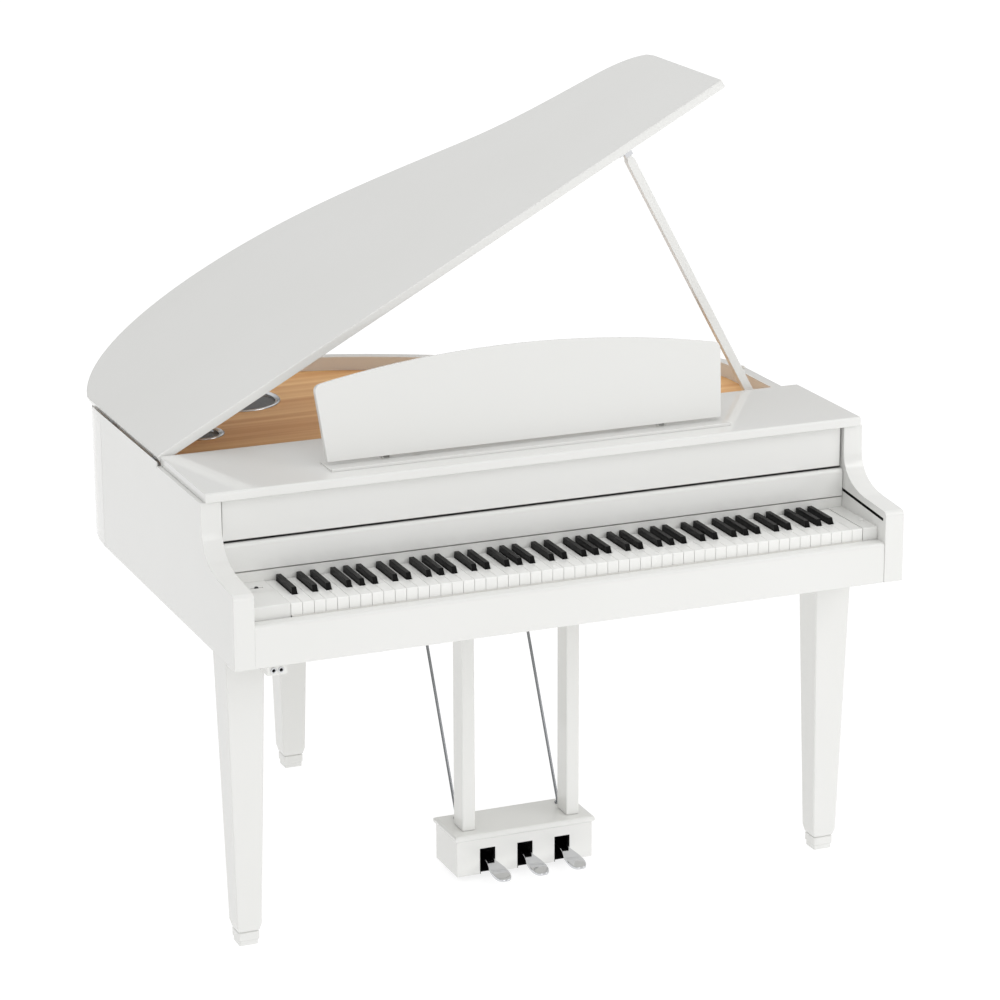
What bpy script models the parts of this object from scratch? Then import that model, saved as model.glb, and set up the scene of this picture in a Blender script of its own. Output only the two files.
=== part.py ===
"""Digital grand piano: case, keyboard, lid, music desk and pedal lyre.

Metres, +Z up, +X to the player's right, +Y from the player to the tail. Sizes along Y are counted from the
front faces of the two arms, and one empty carries everything back by half the depth, so that the origin lies
on the floor under the middle of the instrument.
"""

import math

import bmesh
import bpy
from mathutils import Matrix, Vector

for old in list(bpy.data.objects):
    bpy.data.objects.remove(old, do_unlink=True)

# Overall size
WIDTH = 1.430
DEPTH = 1.237
TOP_HEIGHT = 0.936
CASE_HEIGHT = 0.301
CASE_BOTTOM = TOP_HEIGHT - CASE_HEIGHT
SEAM = 0.0003
EDGE_ROUND = 0.0015

# Case boards
SIDE_THICK = 0.025
LINER_THICK = 0.017
BOARD_THICK = 0.019
RIM_DROP = 0.026
SOUNDBOARD_DROP = 0.031
SOUNDBOARD_THICK = 0.006
BOTTOM_THICK = 0.018
KEYBED_THICK = 0.030
SIDE_BACK_LEFT = 0.860
SIDE_BACK_RIGHT = 0.740

# Arms: the S-curve of the side seen from the player's left. A rise is a height over the case's bottom.
ARM_SHOULDER_Y = 0.186
ARM_SHOULDER_RISE = 0.231
ARM_SHOULDER_Z = CASE_BOTTOM + ARM_SHOULDER_RISE
ARM_TOE_Y = 0.092
ARM_TOE_RISE = 0.1565
ARM_TOE_Z = CASE_BOTTOM + ARM_TOE_RISE
ARM_NOSE_RISE = 0.150
ARM_NOSE_Z = CASE_BOTTOM + ARM_NOSE_RISE
ARM_NOSE_RADIUS = 0.011

# Top board and the boards under it
TOP_FRONT_Y = 0.178
TOP_BACK_Y = 0.466
TOP_SIDE_INSET = 0.0085
NAME_FRONT_Y = 0.196
NAME_THICK = 0.015
NAME_END_GAP = 0.004
NAME_BOTTOM_RISE = 0.196
NAME_BOTTOM_Z = CASE_BOTTOM + NAME_BOTTOM_RISE
BULKHEAD_FRONT_Y = 0.452
BULKHEAD_THICK = 0.012
STRIP_FRONT_Y = 0.1885
STRIP_THICK = 0.012
STRIP_BOTTOM_RISE = 0.105
STRIP_BOTTOM_Z = CASE_BOTTOM + STRIP_BOTTOM_RISE
STRIP_TOP_RISE = 0.1315
STRIP_TOP_Z = CASE_BOTTOM + STRIP_TOP_RISE

# Keyboard: the white keys share the width between the two cheek blocks
WHITE_COUNT = 52
LEFT_CHEEK_WIDTH = 0.0845
RIGHT_CHEEK_WIDTH = 0.0337
PLAY_HALF = WIDTH / 2 - SIDE_THICK - SEAM - LINER_THICK
KEY_PITCH = (2 * PLAY_HALF - LEFT_CHEEK_WIDTH - RIGHT_CHEEK_WIDTH) / WHITE_COUNT
KEY_GAP = 0.0008
KEY_FRONT_Y = 0.035
KEY_TOP_RISE = 0.110
KEY_TOP_Z = CASE_BOTTOM + KEY_TOP_RISE
KEY_HEIGHT = 0.025
HEAD_LENGTH = 0.050
CAP_LENGTH = 0.150
BLACK_WIDTH = 0.0098
BLACK_BASE_WIDTH = 0.0112
BLACK_RISE = 0.0120
BODY_DROP = 0.0085
KEY_PIVOT_Y = 0.270
KEY_DIP = 0.010
NOTCH_GAP = 0.0012
CHEEK_FRONT_Y = 0.0340
CHEEK_TOP_RISE = 0.1112
CHEEK_TOP_Z = CASE_BOTTOM + CHEEK_TOP_RISE

# Key slip
SLIP_FRONT_Y = 0.002
SLIP_BACK_Y = 0.031
SLIP_TOP_RISE = 0.0845
SLIP_TOP_Z = CASE_BOTTOM + SLIP_TOP_RISE
SLIP_ROUND = 0.008

# Key cover: slides down its grooves towards the player
COVER_SLOPE = math.radians(5.3)
GROOVE_RISE = 0.1475
GROOVE_Z = CASE_BOTTOM + GROOVE_RISE
GROOVE_HEIGHT = 0.0066
GROOVE_DEPTH = 0.003
GROOVE_FRONT_Y = 0.011
GROOVE_BACK_Y = 0.400
LIP_FRONT_Y = 0.1865
LIP_THICK = 0.0175
LIP_BOTTOM_RISE = 0.134
LIP_BOTTOM_Z = CASE_BOTTOM + LIP_BOTTOM_RISE
LIP_TOP_RISE = 0.192
LIP_TOP_Z = CASE_BOTTOM + LIP_TOP_RISE
LIP_SIDE_GAP = 0.0015
PANEL_THICK = 0.005
PANEL_LENGTH = 0.182

# Lid
LID_ANGLE = math.radians(28.4)
LID_THICK = 0.019
LID_FRONT_Y = 0.469
LID_EDGE_INSET = 0.0015
LID_HINGE_X = 0.0085
LID_LEFT_X = 0.0130
LID_RIGHT_X = 0.0150
LID_GAP = 0.007
HINGE_RADIUS = 0.0030
HINGE_PIN_RADIUS = 0.0014
HINGE_LENGTH = 0.060
HINGE_LEAF = 0.0012
HINGE_LEAF_WIDTH = 0.0120
HINGE_PLACES = (("front_hinge", 0.520), ("rear_hinge", 0.820))

# Lid prop
PROP_Y = 0.487
PROP_SIDE = 0.018
PROP_INSET = 0.273
PROP_REACH = WIDTH - PROP_INSET
PROP_PEG_HALF = 0.006
PROP_PEG_LENGTH = 0.014
PROP_AXIS_RISE = 0.0130
PROP_PIN_RADIUS = 0.0030
REST_PLATE = 0.0025

# Music desk
DESK_TILT = math.radians(13.0)
DESK_FRONT_Y = 0.2615
DESK_LIFT = 0.0100
DESK_BOTTOM_Z = TOP_HEIGHT + DESK_LIFT
DESK_THICK = 0.014
DESK_HALF_BOTTOM = 0.428
DESK_HALF_TOP = 0.441
DESK_CORNER_HEIGHT = 0.152
DESK_ARCH_HEIGHT = 0.194
DESK_CORNER_ROUND = 0.016
DESK_AXIS_BACK = 0.0055
STAY_ARM = 0.088
STAY_X = 0.220
STAY_WIDTH = 0.012
STAY_THICK = 0.004
DESK_HINGE_X = 0.300
BASE_FRONT_Y = 0.2255
BASE_BACK_Y = 0.3000
BASE_THICK = 0.002
BASE_LEDGE = 0.005
RAIL_BACK_Y = 0.4620

# Speakers in the soundboard: (x, y, mesh radius)
LARGE_RADIUS = 0.088
SMALL_RADIUS = 0.045
TAIL_SPEAKER_INSET = 0.227
LEFT_SPEAKER_INSET = 0.193
RIGHT_SPEAKER_INSET = 0.275
SPEAKERS = (
    (-0.368, DEPTH - TAIL_SPEAKER_INSET, LARGE_RADIUS),
    (LEFT_SPEAKER_INSET - WIDTH / 2, 0.790, SMALL_RADIUS),
    (0.220, 0.810, LARGE_RADIUS),
    (WIDTH / 2 - RIGHT_SPEAKER_INSET, 0.640, SMALL_RADIUS),
)
BEZEL_WIDTH = 0.007
BEZEL_RISE = 0.0025

# Legs
LEG_INSET = 0.075
LEG_X = WIDTH / 2 - LEG_INSET
LEG_SHIFT = -0.008
FRONT_LEG_Y = 0.180
REAR_LEG_X = -0.240
REAR_LEG_INSET = 0.162
REAR_LEG_Y = DEPTH - REAR_LEG_INSET
COLLAR_HALF = 0.055
COLLAR_SLAB = 0.008
COVE_RADIUS = 0.016
LEG_TOP_HALF = 0.0400
LEG_FOOT_HALF = 0.0260
LEG_FOOT_Z = 0.045
ANKLE_HALF = 0.0222
FERRULE_TOP = 0.0305
FERRULE_NECK_Z = 0.0280
FERRULE_FOOT_Z = 0.0098
FERRULE_NECK_HALF = 0.0185
FERRULE_HALF = 0.0215
FERRULE_FOOT_HALF = 0.0195

# Pedal lyre
BOX_HALF = 0.157
BOX_FRONT_Y = 0.280
BOX_DEPTH = 0.128
BOX_BOTTOM = 0.014
BOX_TOP = 0.105
BOX_MOULD = 0.005
BOX_WALL = 0.010
BOX_ROOF = 0.015
SLOT_HALF = 0.017
SLOT_TOP = 0.070
COLUMN_X = 0.117
COLUMN_WIDTH = 0.028
COLUMN_DEPTH = 0.050
COLUMN_FRONT_Y = 0.305
BRACE_X = 0.115
BRACE_FOOT_Y = 0.378
BRACE_HEAD_Y = 0.636
BRACE_RADIUS = 0.0032
PEDAL_PITCH = 0.084
PEDAL_AXIS_Y = 0.372
PEDAL_AXIS_Z = 0.052
PEDAL_TIP_Y = 0.185
PEDAL_EYE_RADIUS = 0.009
AXLE_RADIUS = 0.004
PEDAL_NECK_HALF = 0.0095
PEDAL_PAD_HALF = 0.0185
PEDAL_TIP_DROP = 0.017
PEDAL_THICK = 0.009

# Worked out from the sizes above
HALF_WIDTH = WIDTH / 2
CASE_TOP = TOP_HEIGHT - BOARD_THICK
RIM_TOP = TOP_HEIGHT - RIM_DROP
SOUNDBOARD_TOP = RIM_TOP - SOUNDBOARD_DROP
SOUNDBOARD_UNDER = SOUNDBOARD_TOP - SOUNDBOARD_THICK
INNER_HALF = HALF_WIDTH - SIDE_THICK
KEYS_LEFT = -PLAY_HALF + LEFT_CHEEK_WIDTH
KEYS_RIGHT = PLAY_HALF - RIGHT_CHEEK_WIDTH
BOTTOM_Z = CASE_BOTTOM
KEYBED_TOP = BOTTOM_Z + KEYBED_THICK
BOARD_TOP = BOTTOM_Z + BOTTOM_THICK
CAP_BACK_Y = KEY_FRONT_Y + CAP_LENGTH
KEY_UNDER_Z = KEY_TOP_Z - KEY_HEIGHT
BODY_TOP_Z = KEY_TOP_Z - BODY_DROP
KEY_PIVOT_Z = KEY_UNDER_Z
BULKHEAD_BACK_Y = BULKHEAD_FRONT_Y + BULKHEAD_THICK
WELL_FRONT_Y = BULKHEAD_BACK_Y + SEAM
LID_HINGE = Vector((-HALF_WIDTH + LID_HINGE_X, 0, RIM_TOP + LID_GAP / 2))
FOOT_TOP = CASE_BOTTOM - SEAM


# Where everything stands: one empty carries the whole instrument back by half its depth
DATUM = bpy.data.objects.new("front_datum", None)
bpy.context.scene.collection.objects.link(DATUM)
DATUM.location = (0, -DEPTH / 2, 0)


def empty(name, location, parent=DATUM, rotation=(0, 0, 0)):
    """An axis that pieces hang from."""
    axis = bpy.data.objects.new(name, None)
    bpy.context.scene.collection.objects.link(axis)
    axis.parent = parent
    axis.location = location
    axis.rotation_euler = rotation
    return axis


def finish(name, colour, roughness, metallic=0.0):
    """A plain surface finish."""
    mat = bpy.data.materials.new(name)
    mat.use_nodes = True
    shader = mat.node_tree.nodes["Principled BSDF"]
    shader.inputs["Base Color"].default_value = (*colour, 1)
    shader.inputs["Roughness"].default_value = roughness
    shader.inputs["Metallic"].default_value = metallic
    return mat


GLOSS_WHITE = (0.86, 0.86, 0.85)
SATIN_BLACK = (0.02, 0.02, 0.02)
CHROME = (0.80, 0.80, 0.80)
STEEL = (0.55, 0.55, 0.56)


def piece(name, bm, surface, parent=DATUM, location=(0, 0, 0), rotation=(0, 0, 0), smooth=30):
    """Makes one named piece from a bmesh, with its faces out and its curved sides shaded smooth."""
    bmesh.ops.remove_doubles(bm, verts=bm.verts, dist=0.00001)
    bmesh.ops.recalc_face_normals(bm, faces=bm.faces)
    mesh = bpy.data.meshes.new(name)
    bm.to_mesh(mesh)
    bm.free()
    mesh.shade_smooth()
    mesh.set_sharp_from_angle(angle=math.radians(smooth))
    obj = bpy.data.objects.new(name, mesh)
    bpy.context.scene.collection.objects.link(obj)
    obj.parent = parent
    obj.location = location
    obj.rotation_euler = rotation
    mesh.materials.append(finish(name + "_finish", *surface))
    return obj


def tool(name, bm, parent=DATUM, location=(0, 0, 0), rotation=(0, 0, 0)):
    """A shape that only cuts or joins another, and isn't a piece itself."""
    obj = piece(name, bm, (SATIN_BLACK, 0.5), parent, location, rotation)
    obj.hide_render = True
    obj.display_type = "WIRE"
    return obj


def combine(obj, other, operation="DIFFERENCE"):
    """Cuts another shape from a piece, or joins it on."""
    mod = obj.modifiers.new(operation.lower() + "_" + other.name, "BOOLEAN")
    mod.operation = operation
    mod.solver = "EXACT"
    mod.object = other


def soften(obj, width, segments=2, angle=35):
    """Rounds a piece's sharp edges."""
    mod = obj.modifiers.new("edge_round", "BEVEL")
    mod.width = width
    mod.segments = segments
    mod.limit_method = "ANGLE"
    mod.angle_limit = math.radians(angle)
    mod.harden_normals = False


def box(bm, x0, x1, y0, y1, z0, z1):
    """Adds a block between two corners."""
    size = Matrix.Diagonal((x1 - x0, y1 - y0, z1 - z0, 1))
    place = Matrix.Translation(((x0 + x1) / 2, (y0 + y1) / 2, (z0 + z1) / 2))
    bmesh.ops.create_cube(bm, size=1.0, matrix=place @ size)


def rod(bm, start, end, radius, sides=12):
    """Adds a round bar from one point to another."""
    start, end = Vector(start), Vector(end)
    run = end - start
    turn = run.to_track_quat("Z", "Y").to_matrix().to_4x4()
    place = Matrix.Translation((start + end) / 2) @ turn
    bmesh.ops.create_cone(bm, cap_ends=True, cap_tris=False, segments=sides, radius1=radius,
                          radius2=radius, depth=run.length, matrix=place)


def prism(bm, outline, axis, low, high):
    """Extrudes a flat outline along X, Y or Z."""
    put = {
        "X": lambda p, h: (h, p[0], p[1]),
        "Y": lambda p, h: (p[0], h, p[1]),
        "Z": lambda p, h: (p[0], p[1], h),
    }[axis]
    base = bm.faces.new([bm.verts.new(put(p, low)) for p in outline])
    lift = {"X": (high - low, 0, 0), "Y": (0, high - low, 0), "Z": (0, 0, high - low)}[axis]
    grown = bmesh.ops.extrude_face_region(bm, geom=[base], use_keep_orig=True)
    top = [v for v in grown["geom"] if isinstance(v, bmesh.types.BMVert)]
    bmesh.ops.translate(bm, verts=top, vec=lift)


def loft(bm, loops):
    """Skins a run of loops that have the same number of points, and closes both ends."""
    rings = [[bm.verts.new(p) for p in loop] for loop in loops]
    count = len(rings[0])
    for ring, following in zip(rings, rings[1:]):
        for i in range(count):
            j = (i + 1) % count
            bm.faces.new((ring[i], ring[j], following[j], following[i]))
    bm.faces.new(rings[0][::-1])
    bm.faces.new(rings[-1])


def lathe(bm, profile, centre, sides=32):
    """Turns a closed profile of (radius, height) points round an upright axis."""
    on_axis = profile[0][0] < 1e-6 and profile[-1][0] < 1e-6
    verts = [bm.verts.new((centre[0] + r, centre[1], centre[2] + z)) for r, z in profile]
    edges = [bm.edges.new(pair) for pair in zip(verts, verts[1:])]
    if not on_axis:
        edges.append(bm.edges.new((verts[-1], verts[0])))
    bmesh.ops.spin(bm, geom=verts + edges, cent=centre, axis=(0, 0, 1), angle=math.tau,
                   steps=sides, use_merge=True, use_duplicate=False)
    bmesh.ops.remove_doubles(bm, verts=bm.verts, dist=0.00001)


def arc(centre, radius, start, end, steps):
    """Points along a round stretch of an outline, in degrees."""
    out = []
    for i in range(steps + 1):
        a = math.radians(start + (end - start) * i / steps)
        out.append((centre[0] + radius * math.cos(a), centre[1] + radius * math.sin(a)))
    return out


def rounded(corners, steps=3):
    """Turns corners of (x, y, radius) into an outline with its corners rounded."""
    out = []
    count = len(corners)
    for i, (x, y, radius) in enumerate(corners):
        here = Vector((x, y))
        if radius <= 0:
            out.append((x, y))
            continue
        back = Vector(corners[i - 1][:2]) - here
        ahead = Vector(corners[(i + 1) % count][:2]) - here
        half = back.angle(ahead) / 2
        reach = radius / math.tan(half)
        start = here + back.normalized() * reach
        end = here + ahead.normalized() * reach
        for k in range(steps + 1):
            t = k / steps
            a = start.lerp(here, t)
            b = here.lerp(end, t)
            point = a.lerp(b, t)
            out.append((point.x, point.y))
    return out


def bezier(p0, p1, p2, p3, steps):
    """Points and directions along one cubic stretch, without its last point."""
    out = []
    for i in range(steps):
        t = i / steps
        u = 1 - t
        place = [u**3 * a + 3 * u * u * t * b + 3 * u * t * t * c + t**3 * d
                 for a, b, c, d in zip(p0, p1, p2, p3)]
        slope = [3 * u * u * (b - a) + 6 * u * t * (c - b) + 3 * t * t * (d - c)
                 for a, b, c, d in zip(p0, p1, p2, p3)]
        out.append((Vector(place), Vector(slope).normalized()))
    return out


# The plan of the bent rim: round tail, hollow bent side and round right corner, as four smooth stretches
TAIL_X = -0.310
WAIST = (0.300, 1.000)
HIP = (0.590, 0.903)


def rim_line(inset, steps=1.0):
    """The bent rim's plan from the left board round the tail to the right board, set in by some distance."""
    left, right = -HALF_WIDTH, HALF_WIDTH
    left_end, right_end = (left, SIDE_BACK_LEFT), (right, SIDE_BACK_RIGHT)
    stretches = (
        (left_end, (left, SIDE_BACK_LEFT + 0.230), (TAIL_X - 0.250, DEPTH), (TAIL_X, DEPTH), 12),
        ((TAIL_X, DEPTH), (TAIL_X + 0.250, DEPTH), (WAIST[0] - 0.170, WAIST[1] + 0.0972), WAIST, 9),
        (WAIST, (WAIST[0] + 0.100, WAIST[1] - 0.0572), (HIP[0] - 0.090, HIP[1] + 0.022), HIP, 6),
        (HIP, (HIP[0] + 0.080, HIP[1] - 0.020), (right, SIDE_BACK_RIGHT + 0.100), right_end, 8),
    )
    line = []
    for *points, count in stretches:
        line += bezier(*points, max(3, round(count * steps)))
    line.append((Vector((right, SIDE_BACK_RIGHT)), Vector((0, -1))))
    return [(p.x + inset * d.y, p.y - inset * d.x) for p, d in line]


def case_plan(inset, front_y):
    """A flat board that fills the case's plan from some line back to the tail."""
    line = rim_line(inset)
    return [(-HALF_WIDTH + inset, front_y)] + line + [(HALF_WIDTH - inset, front_y)]


def arm_profile(back_y, top_step_y=None):
    """The side board's outline from the player's left: foot, nose, S-curve, then back along the top."""
    cove = bezier((ARM_TOE_Y, ARM_TOE_Z), (ARM_SHOULDER_Y - 0.030, ARM_TOE_Z + 0.006),
                  (ARM_SHOULDER_Y, ARM_SHOULDER_Z - 0.040), (ARM_SHOULDER_Y, ARM_SHOULDER_Z), 8)
    nose = arc((ARM_NOSE_RADIUS, ARM_NOSE_Z - ARM_NOSE_RADIUS), ARM_NOSE_RADIUS, 180, 90, 4)
    outline = [(0, CASE_BOTTOM)] + nose + [(p.x, p.y) for p, _ in cove]
    outline += [(ARM_SHOULDER_Y, ARM_SHOULDER_Z), (ARM_SHOULDER_Y, CASE_TOP - SEAM)]
    if top_step_y:
        outline += [(top_step_y, CASE_TOP - SEAM), (top_step_y, RIM_TOP), (back_y, RIM_TOP)]
    else:
        outline += [(back_y, CASE_TOP - SEAM)]
    outline += [(back_y, CASE_BOTTOM)]
    return outline


def groove_z(y):
    """Height of the cover's groove at some distance from the arms' front."""
    return GROOVE_Z + math.tan(COVER_SLOPE) * (y - LIP_FRONT_Y)


def slope_strip(front_y, back_y, height):
    """A flat strip along the groove, seen from the side."""
    return [(front_y, groove_z(front_y) - height / 2), (back_y, groove_z(back_y) - height / 2),
            (back_y, groove_z(back_y) + height / 2), (front_y, groove_z(front_y) + height / 2)]


# Case: two side boards that end in the thicker, S-curved arms, and the bent rim between them. Each arm's
# inner face has the groove that the key cover slides in.
for side, back_y, name in ((-1, SIDE_BACK_LEFT, "left_side_board"), (1, SIDE_BACK_RIGHT, "right_side_board")):
    bm = bmesh.new()
    prism(bm, arm_profile(back_y - SEAM, TOP_BACK_Y + SEAM), "X", side * HALF_WIDTH, side * PLAY_HALF)
    board = piece(name, bm, (GLOSS_WHITE, 0.12))
    bm = bmesh.new()
    box(bm, *sorted((side * INNER_HALF, side * (PLAY_HALF - 0.01))), BULKHEAD_FRONT_Y - SEAM, back_y + 0.01,
        CASE_BOTTOM - 0.01, TOP_HEIGHT)
    combine(board, tool(name + "_step", bm))
    soften(board, EDGE_ROUND, 2)
    bm = bmesh.new()
    prism(bm, slope_strip(GROOVE_FRONT_Y, GROOVE_BACK_Y, GROOVE_HEIGHT), "X",
          side * (PLAY_HALF + GROOVE_DEPTH), side * (PLAY_HALF - GROOVE_DEPTH))
    combine(board, tool(name + "_groove", bm))

bm = bmesh.new()
outer, inner = rim_line(0), rim_line(SIDE_THICK)
prism(bm, outer + inner[::-1], "Z", CASE_BOTTOM, RIM_TOP)
piece("bent_rim", bm, (GLOSS_WHITE, 0.12))

# Boards across the case
FIT_HALF = PLAY_HALF - SEAM
bm = bmesh.new()
box(bm, -FIT_HALF, FIT_HALF, SLIP_BACK_Y + SEAM, BULKHEAD_FRONT_Y - SEAM, BOTTOM_Z, KEYBED_TOP)
piece("keybed", bm, ((0.50, 0.42, 0.32), 0.6))

bm = bmesh.new()
slip = rounded([(SLIP_FRONT_Y, CASE_BOTTOM, 0.002), (SLIP_FRONT_Y, SLIP_TOP_Z, SLIP_ROUND),
                (SLIP_BACK_Y, SLIP_TOP_Z, 0.001), (SLIP_BACK_Y, CASE_BOTTOM, 0)], 4)
prism(bm, slip, "X", -FIT_HALF, FIT_HALF)
piece("key_slip", bm, (GLOSS_WHITE, 0.12))

bm = bmesh.new()
prism(bm, case_plan(SIDE_THICK + SEAM, BULKHEAD_BACK_Y + SEAM), "Z", BOTTOM_Z, BOARD_TOP)
piece("bottom_board", bm, ((0.50, 0.42, 0.32), 0.6))

bm = bmesh.new()
BULKHEAD_HALF = INNER_HALF - EDGE_ROUND - SEAM
box(bm, -BULKHEAD_HALF, BULKHEAD_HALF, BULKHEAD_FRONT_Y, BULKHEAD_BACK_Y, BOTTOM_Z, CASE_TOP - SEAM)
piece("inner_bulkhead", bm, (GLOSS_WHITE, 0.2))

bm = bmesh.new()
edge = HALF_WIDTH - TOP_SIDE_INSET
top = rounded([(TOP_FRONT_Y, CASE_TOP, 0.003), (TOP_FRONT_Y, TOP_HEIGHT, 0.006),
               (TOP_BACK_Y, TOP_HEIGHT, 0.002), (TOP_BACK_Y, CASE_TOP, 0)], 4)
prism(bm, top, "X", -edge, edge)
piece("top_board", bm, (GLOSS_WHITE, 0.12))

bm = bmesh.new()
NAME_HALF = PLAY_HALF - NAME_END_GAP
name_outline = rounded([(NAME_FRONT_Y, NAME_BOTTOM_Z, 0.003), (NAME_FRONT_Y, CASE_TOP - SEAM, 0),
                        (NAME_FRONT_Y + NAME_THICK, CASE_TOP - SEAM, 0),
                        (NAME_FRONT_Y + NAME_THICK, NAME_BOTTOM_Z, 0.003)], 3)
prism(bm, name_outline, "X", -NAME_HALF, NAME_HALF)
piece("name_board", bm, (GLOSS_WHITE, 0.12))

bm = bmesh.new()
box(bm, -FIT_HALF, FIT_HALF, STRIP_FRONT_Y, STRIP_FRONT_Y + STRIP_THICK, STRIP_BOTTOM_Z, STRIP_TOP_Z)
piece("key_back_rail", bm, (GLOSS_WHITE, 0.3))

# Cheek blocks beside the keys: the left one has the slider's slot, the right one the button's well
SLOT_INSET = 0.0305
SLOT_X = KEYS_LEFT - SLOT_INSET
SLOT_Y = 0.148
SLOT_LENGTH = 0.026
SLOT_WIDTH = 0.0060
SLOT_DEPTH = 0.006
SLIDER_LENGTH = 0.0070
SLIDER_RISE = 0.0025
BUTTON_INSET = 0.010
BUTTON_X = PLAY_HALF - BUTTON_INSET
BUTTON_Y = 0.084
BUTTON_RADIUS = 0.0050
BUTTON_RISE = 0.0022
BUTTON_WELL = 0.006
RUN_GAP = 0.0004
CHEEK_BACK_Y = STRIP_FRONT_Y - SEAM
cheek = rounded([(CHEEK_FRONT_Y, KEYBED_TOP + SEAM, 0), (CHEEK_FRONT_Y, CHEEK_TOP_Z, 0.003),
                 (CHEEK_BACK_Y, CHEEK_TOP_Z, 0), (CHEEK_BACK_Y, KEYBED_TOP + SEAM, 0)], 3)
bm = bmesh.new()
prism(bm, cheek, "X", -FIT_HALF, KEYS_LEFT - KEY_GAP)
left_cheek = piece("left_cheek_block", bm, (GLOSS_WHITE, 0.15))
bm = bmesh.new()
box(bm, SLOT_X - SLOT_LENGTH / 2, SLOT_X + SLOT_LENGTH / 2, SLOT_Y - SLOT_WIDTH / 2, SLOT_Y + SLOT_WIDTH / 2,
    CHEEK_TOP_Z - SLOT_DEPTH, CHEEK_TOP_Z + SLOT_DEPTH)
combine(left_cheek, tool("slot_cutter", bm))
bm = bmesh.new()
prism(bm, cheek, "X", KEYS_RIGHT + KEY_GAP, FIT_HALF)
right_cheek = piece("right_cheek_block", bm, (GLOSS_WHITE, 0.15))
bm = bmesh.new()
rod(bm, (BUTTON_X, BUTTON_Y, CHEEK_TOP_Z - BUTTON_WELL), (BUTTON_X, BUTTON_Y, CHEEK_TOP_Z + BUTTON_WELL),
    BUTTON_RADIUS + RUN_GAP, 24)
combine(right_cheek, tool("well_cutter", bm))

bm = bmesh.new()
foot = SLOT_DEPTH - SEAM
knob = [(-SLIDER_LENGTH / 2, -foot), (SLIDER_LENGTH / 2, -foot), (SLIDER_LENGTH / 2, SLIDER_RISE * 0.4),
        (SLIDER_LENGTH * 0.3, SLIDER_RISE), (-SLIDER_LENGTH * 0.3, SLIDER_RISE),
        (-SLIDER_LENGTH / 2, SLIDER_RISE * 0.4)]
prism(bm, knob, "Y", -SLOT_WIDTH / 2 + RUN_GAP, SLOT_WIDTH / 2 - RUN_GAP)
piece("volume_slider", bm, (SATIN_BLACK, 0.4), location=(SLOT_X, SLOT_Y, CHEEK_TOP_Z))

bm = bmesh.new()
crown = [(0, -BUTTON_WELL + BUTTON_RISE), (BUTTON_RADIUS, -BUTTON_WELL + BUTTON_RISE),
         (BUTTON_RADIUS, BUTTON_RISE * 0.6), (BUTTON_RADIUS * 0.85, BUTTON_RISE), (0, BUTTON_RISE)]
lathe(bm, crown, Vector((0, 0, 0)), 20)
piece("power_button", bm, (GLOSS_WHITE, 0.3), location=(BUTTON_X, BUTTON_Y, CHEEK_TOP_Z))

# Key cover: the rounded front lip, and the thin panel that runs in the arms' grooves
cover_place = (0, LIP_FRONT_Y, GROOVE_Z)
bm = bmesh.new()
lip = rounded([(0, LIP_BOTTOM_Z - GROOVE_Z, 0.002), (0, LIP_TOP_Z - GROOVE_Z, 0.008),
               (LIP_THICK, LIP_TOP_Z - GROOVE_Z, 0.006),
               (LIP_THICK, LIP_BOTTOM_Z - GROOVE_Z, 0.002)], 4)
prism(bm, lip, "X", -PLAY_HALF + LIP_SIDE_GAP, PLAY_HALF - LIP_SIDE_GAP)
cover = piece("key_cover", bm, (GLOSS_WHITE, 0.12), location=cover_place)
bm = bmesh.new()
start_y = LIP_FRONT_Y + LIP_THICK
strip = slope_strip(start_y - LIP_THICK / 2, start_y + PANEL_LENGTH, PANEL_THICK)
strip = [(y - LIP_FRONT_Y, z - GROOVE_Z) for y, z in strip]
tongue = PLAY_HALF + GROOVE_DEPTH - 0.0006
prism(bm, strip, "X", -tongue, tongue)
panel = tool("cover_panel", bm, location=cover_place)
bm = bmesh.new()
for side in (-1, 1):
    edge = side * (PLAY_HALF - LIP_SIDE_GAP)
    box(bm, *sorted((edge, edge + side * 0.01)), -0.01, LIP_THICK, -0.05, 0.05)
combine(panel, tool("cover_notch", bm, location=cover_place))
combine(cover, panel, "UNION")

# Keys: moulded an octave at a time, as one comb of white keys and one of black keys. Every key is a finger
# of its comb, joined to the others by a rail behind the pivot line; the black combs' rails lie over the white
# ones'.
WHITE_NOTES = (0, 2, 4, 5, 7, 9, 11)
BLACK_SHIFT = {1: -0.0022, 3: 0.0022, 6: -0.0032, 8: 0.0, 10: 0.0032}
FIRST_NOTE = 9
LAST_NOTE = FIRST_NOTE + 87
OCTAVES = 7
KEY_CHAMFER = 0.0012
ROD_RADIUS = 0.0025
ROD_GAP = 0.0005
BLACK_FRONT_GAP = 0.0025
RAIL_START = 0.0055
RAIL_END = 0.0220
WHITE_RAIL_THICK = 0.0055
BLACK_RAIL_THICK = 0.0055


def white_index(note):
    """How many white keys lie to the left of this note."""
    def count(n):
        return (n // 12) * 7 + sum(1 for w in WHITE_NOTES if w < n % 12)
    return count(note) - count(FIRST_NOTE)


def black_centre(note):
    """Middle of a black key: on the line between its white neighbours, with the usual small shift."""
    return KEYS_LEFT + white_index(note) * KEY_PITCH + BLACK_SHIFT[note % 12]


def is_black(note):
    return note % 12 in BLACK_SHIFT and FIRST_NOTE <= note <= LAST_NOTE


def stations(bm, rows):
    """A key's body: one upright rectangle at each row of (y, left, right, bottom, top), skinned in order."""
    loft(bm, [[(x0, y, z0), (x1, y, z0), (x1, y, z1), (x0, y, z1)] for y, x0, x1, z0, z1 in rows])


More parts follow.
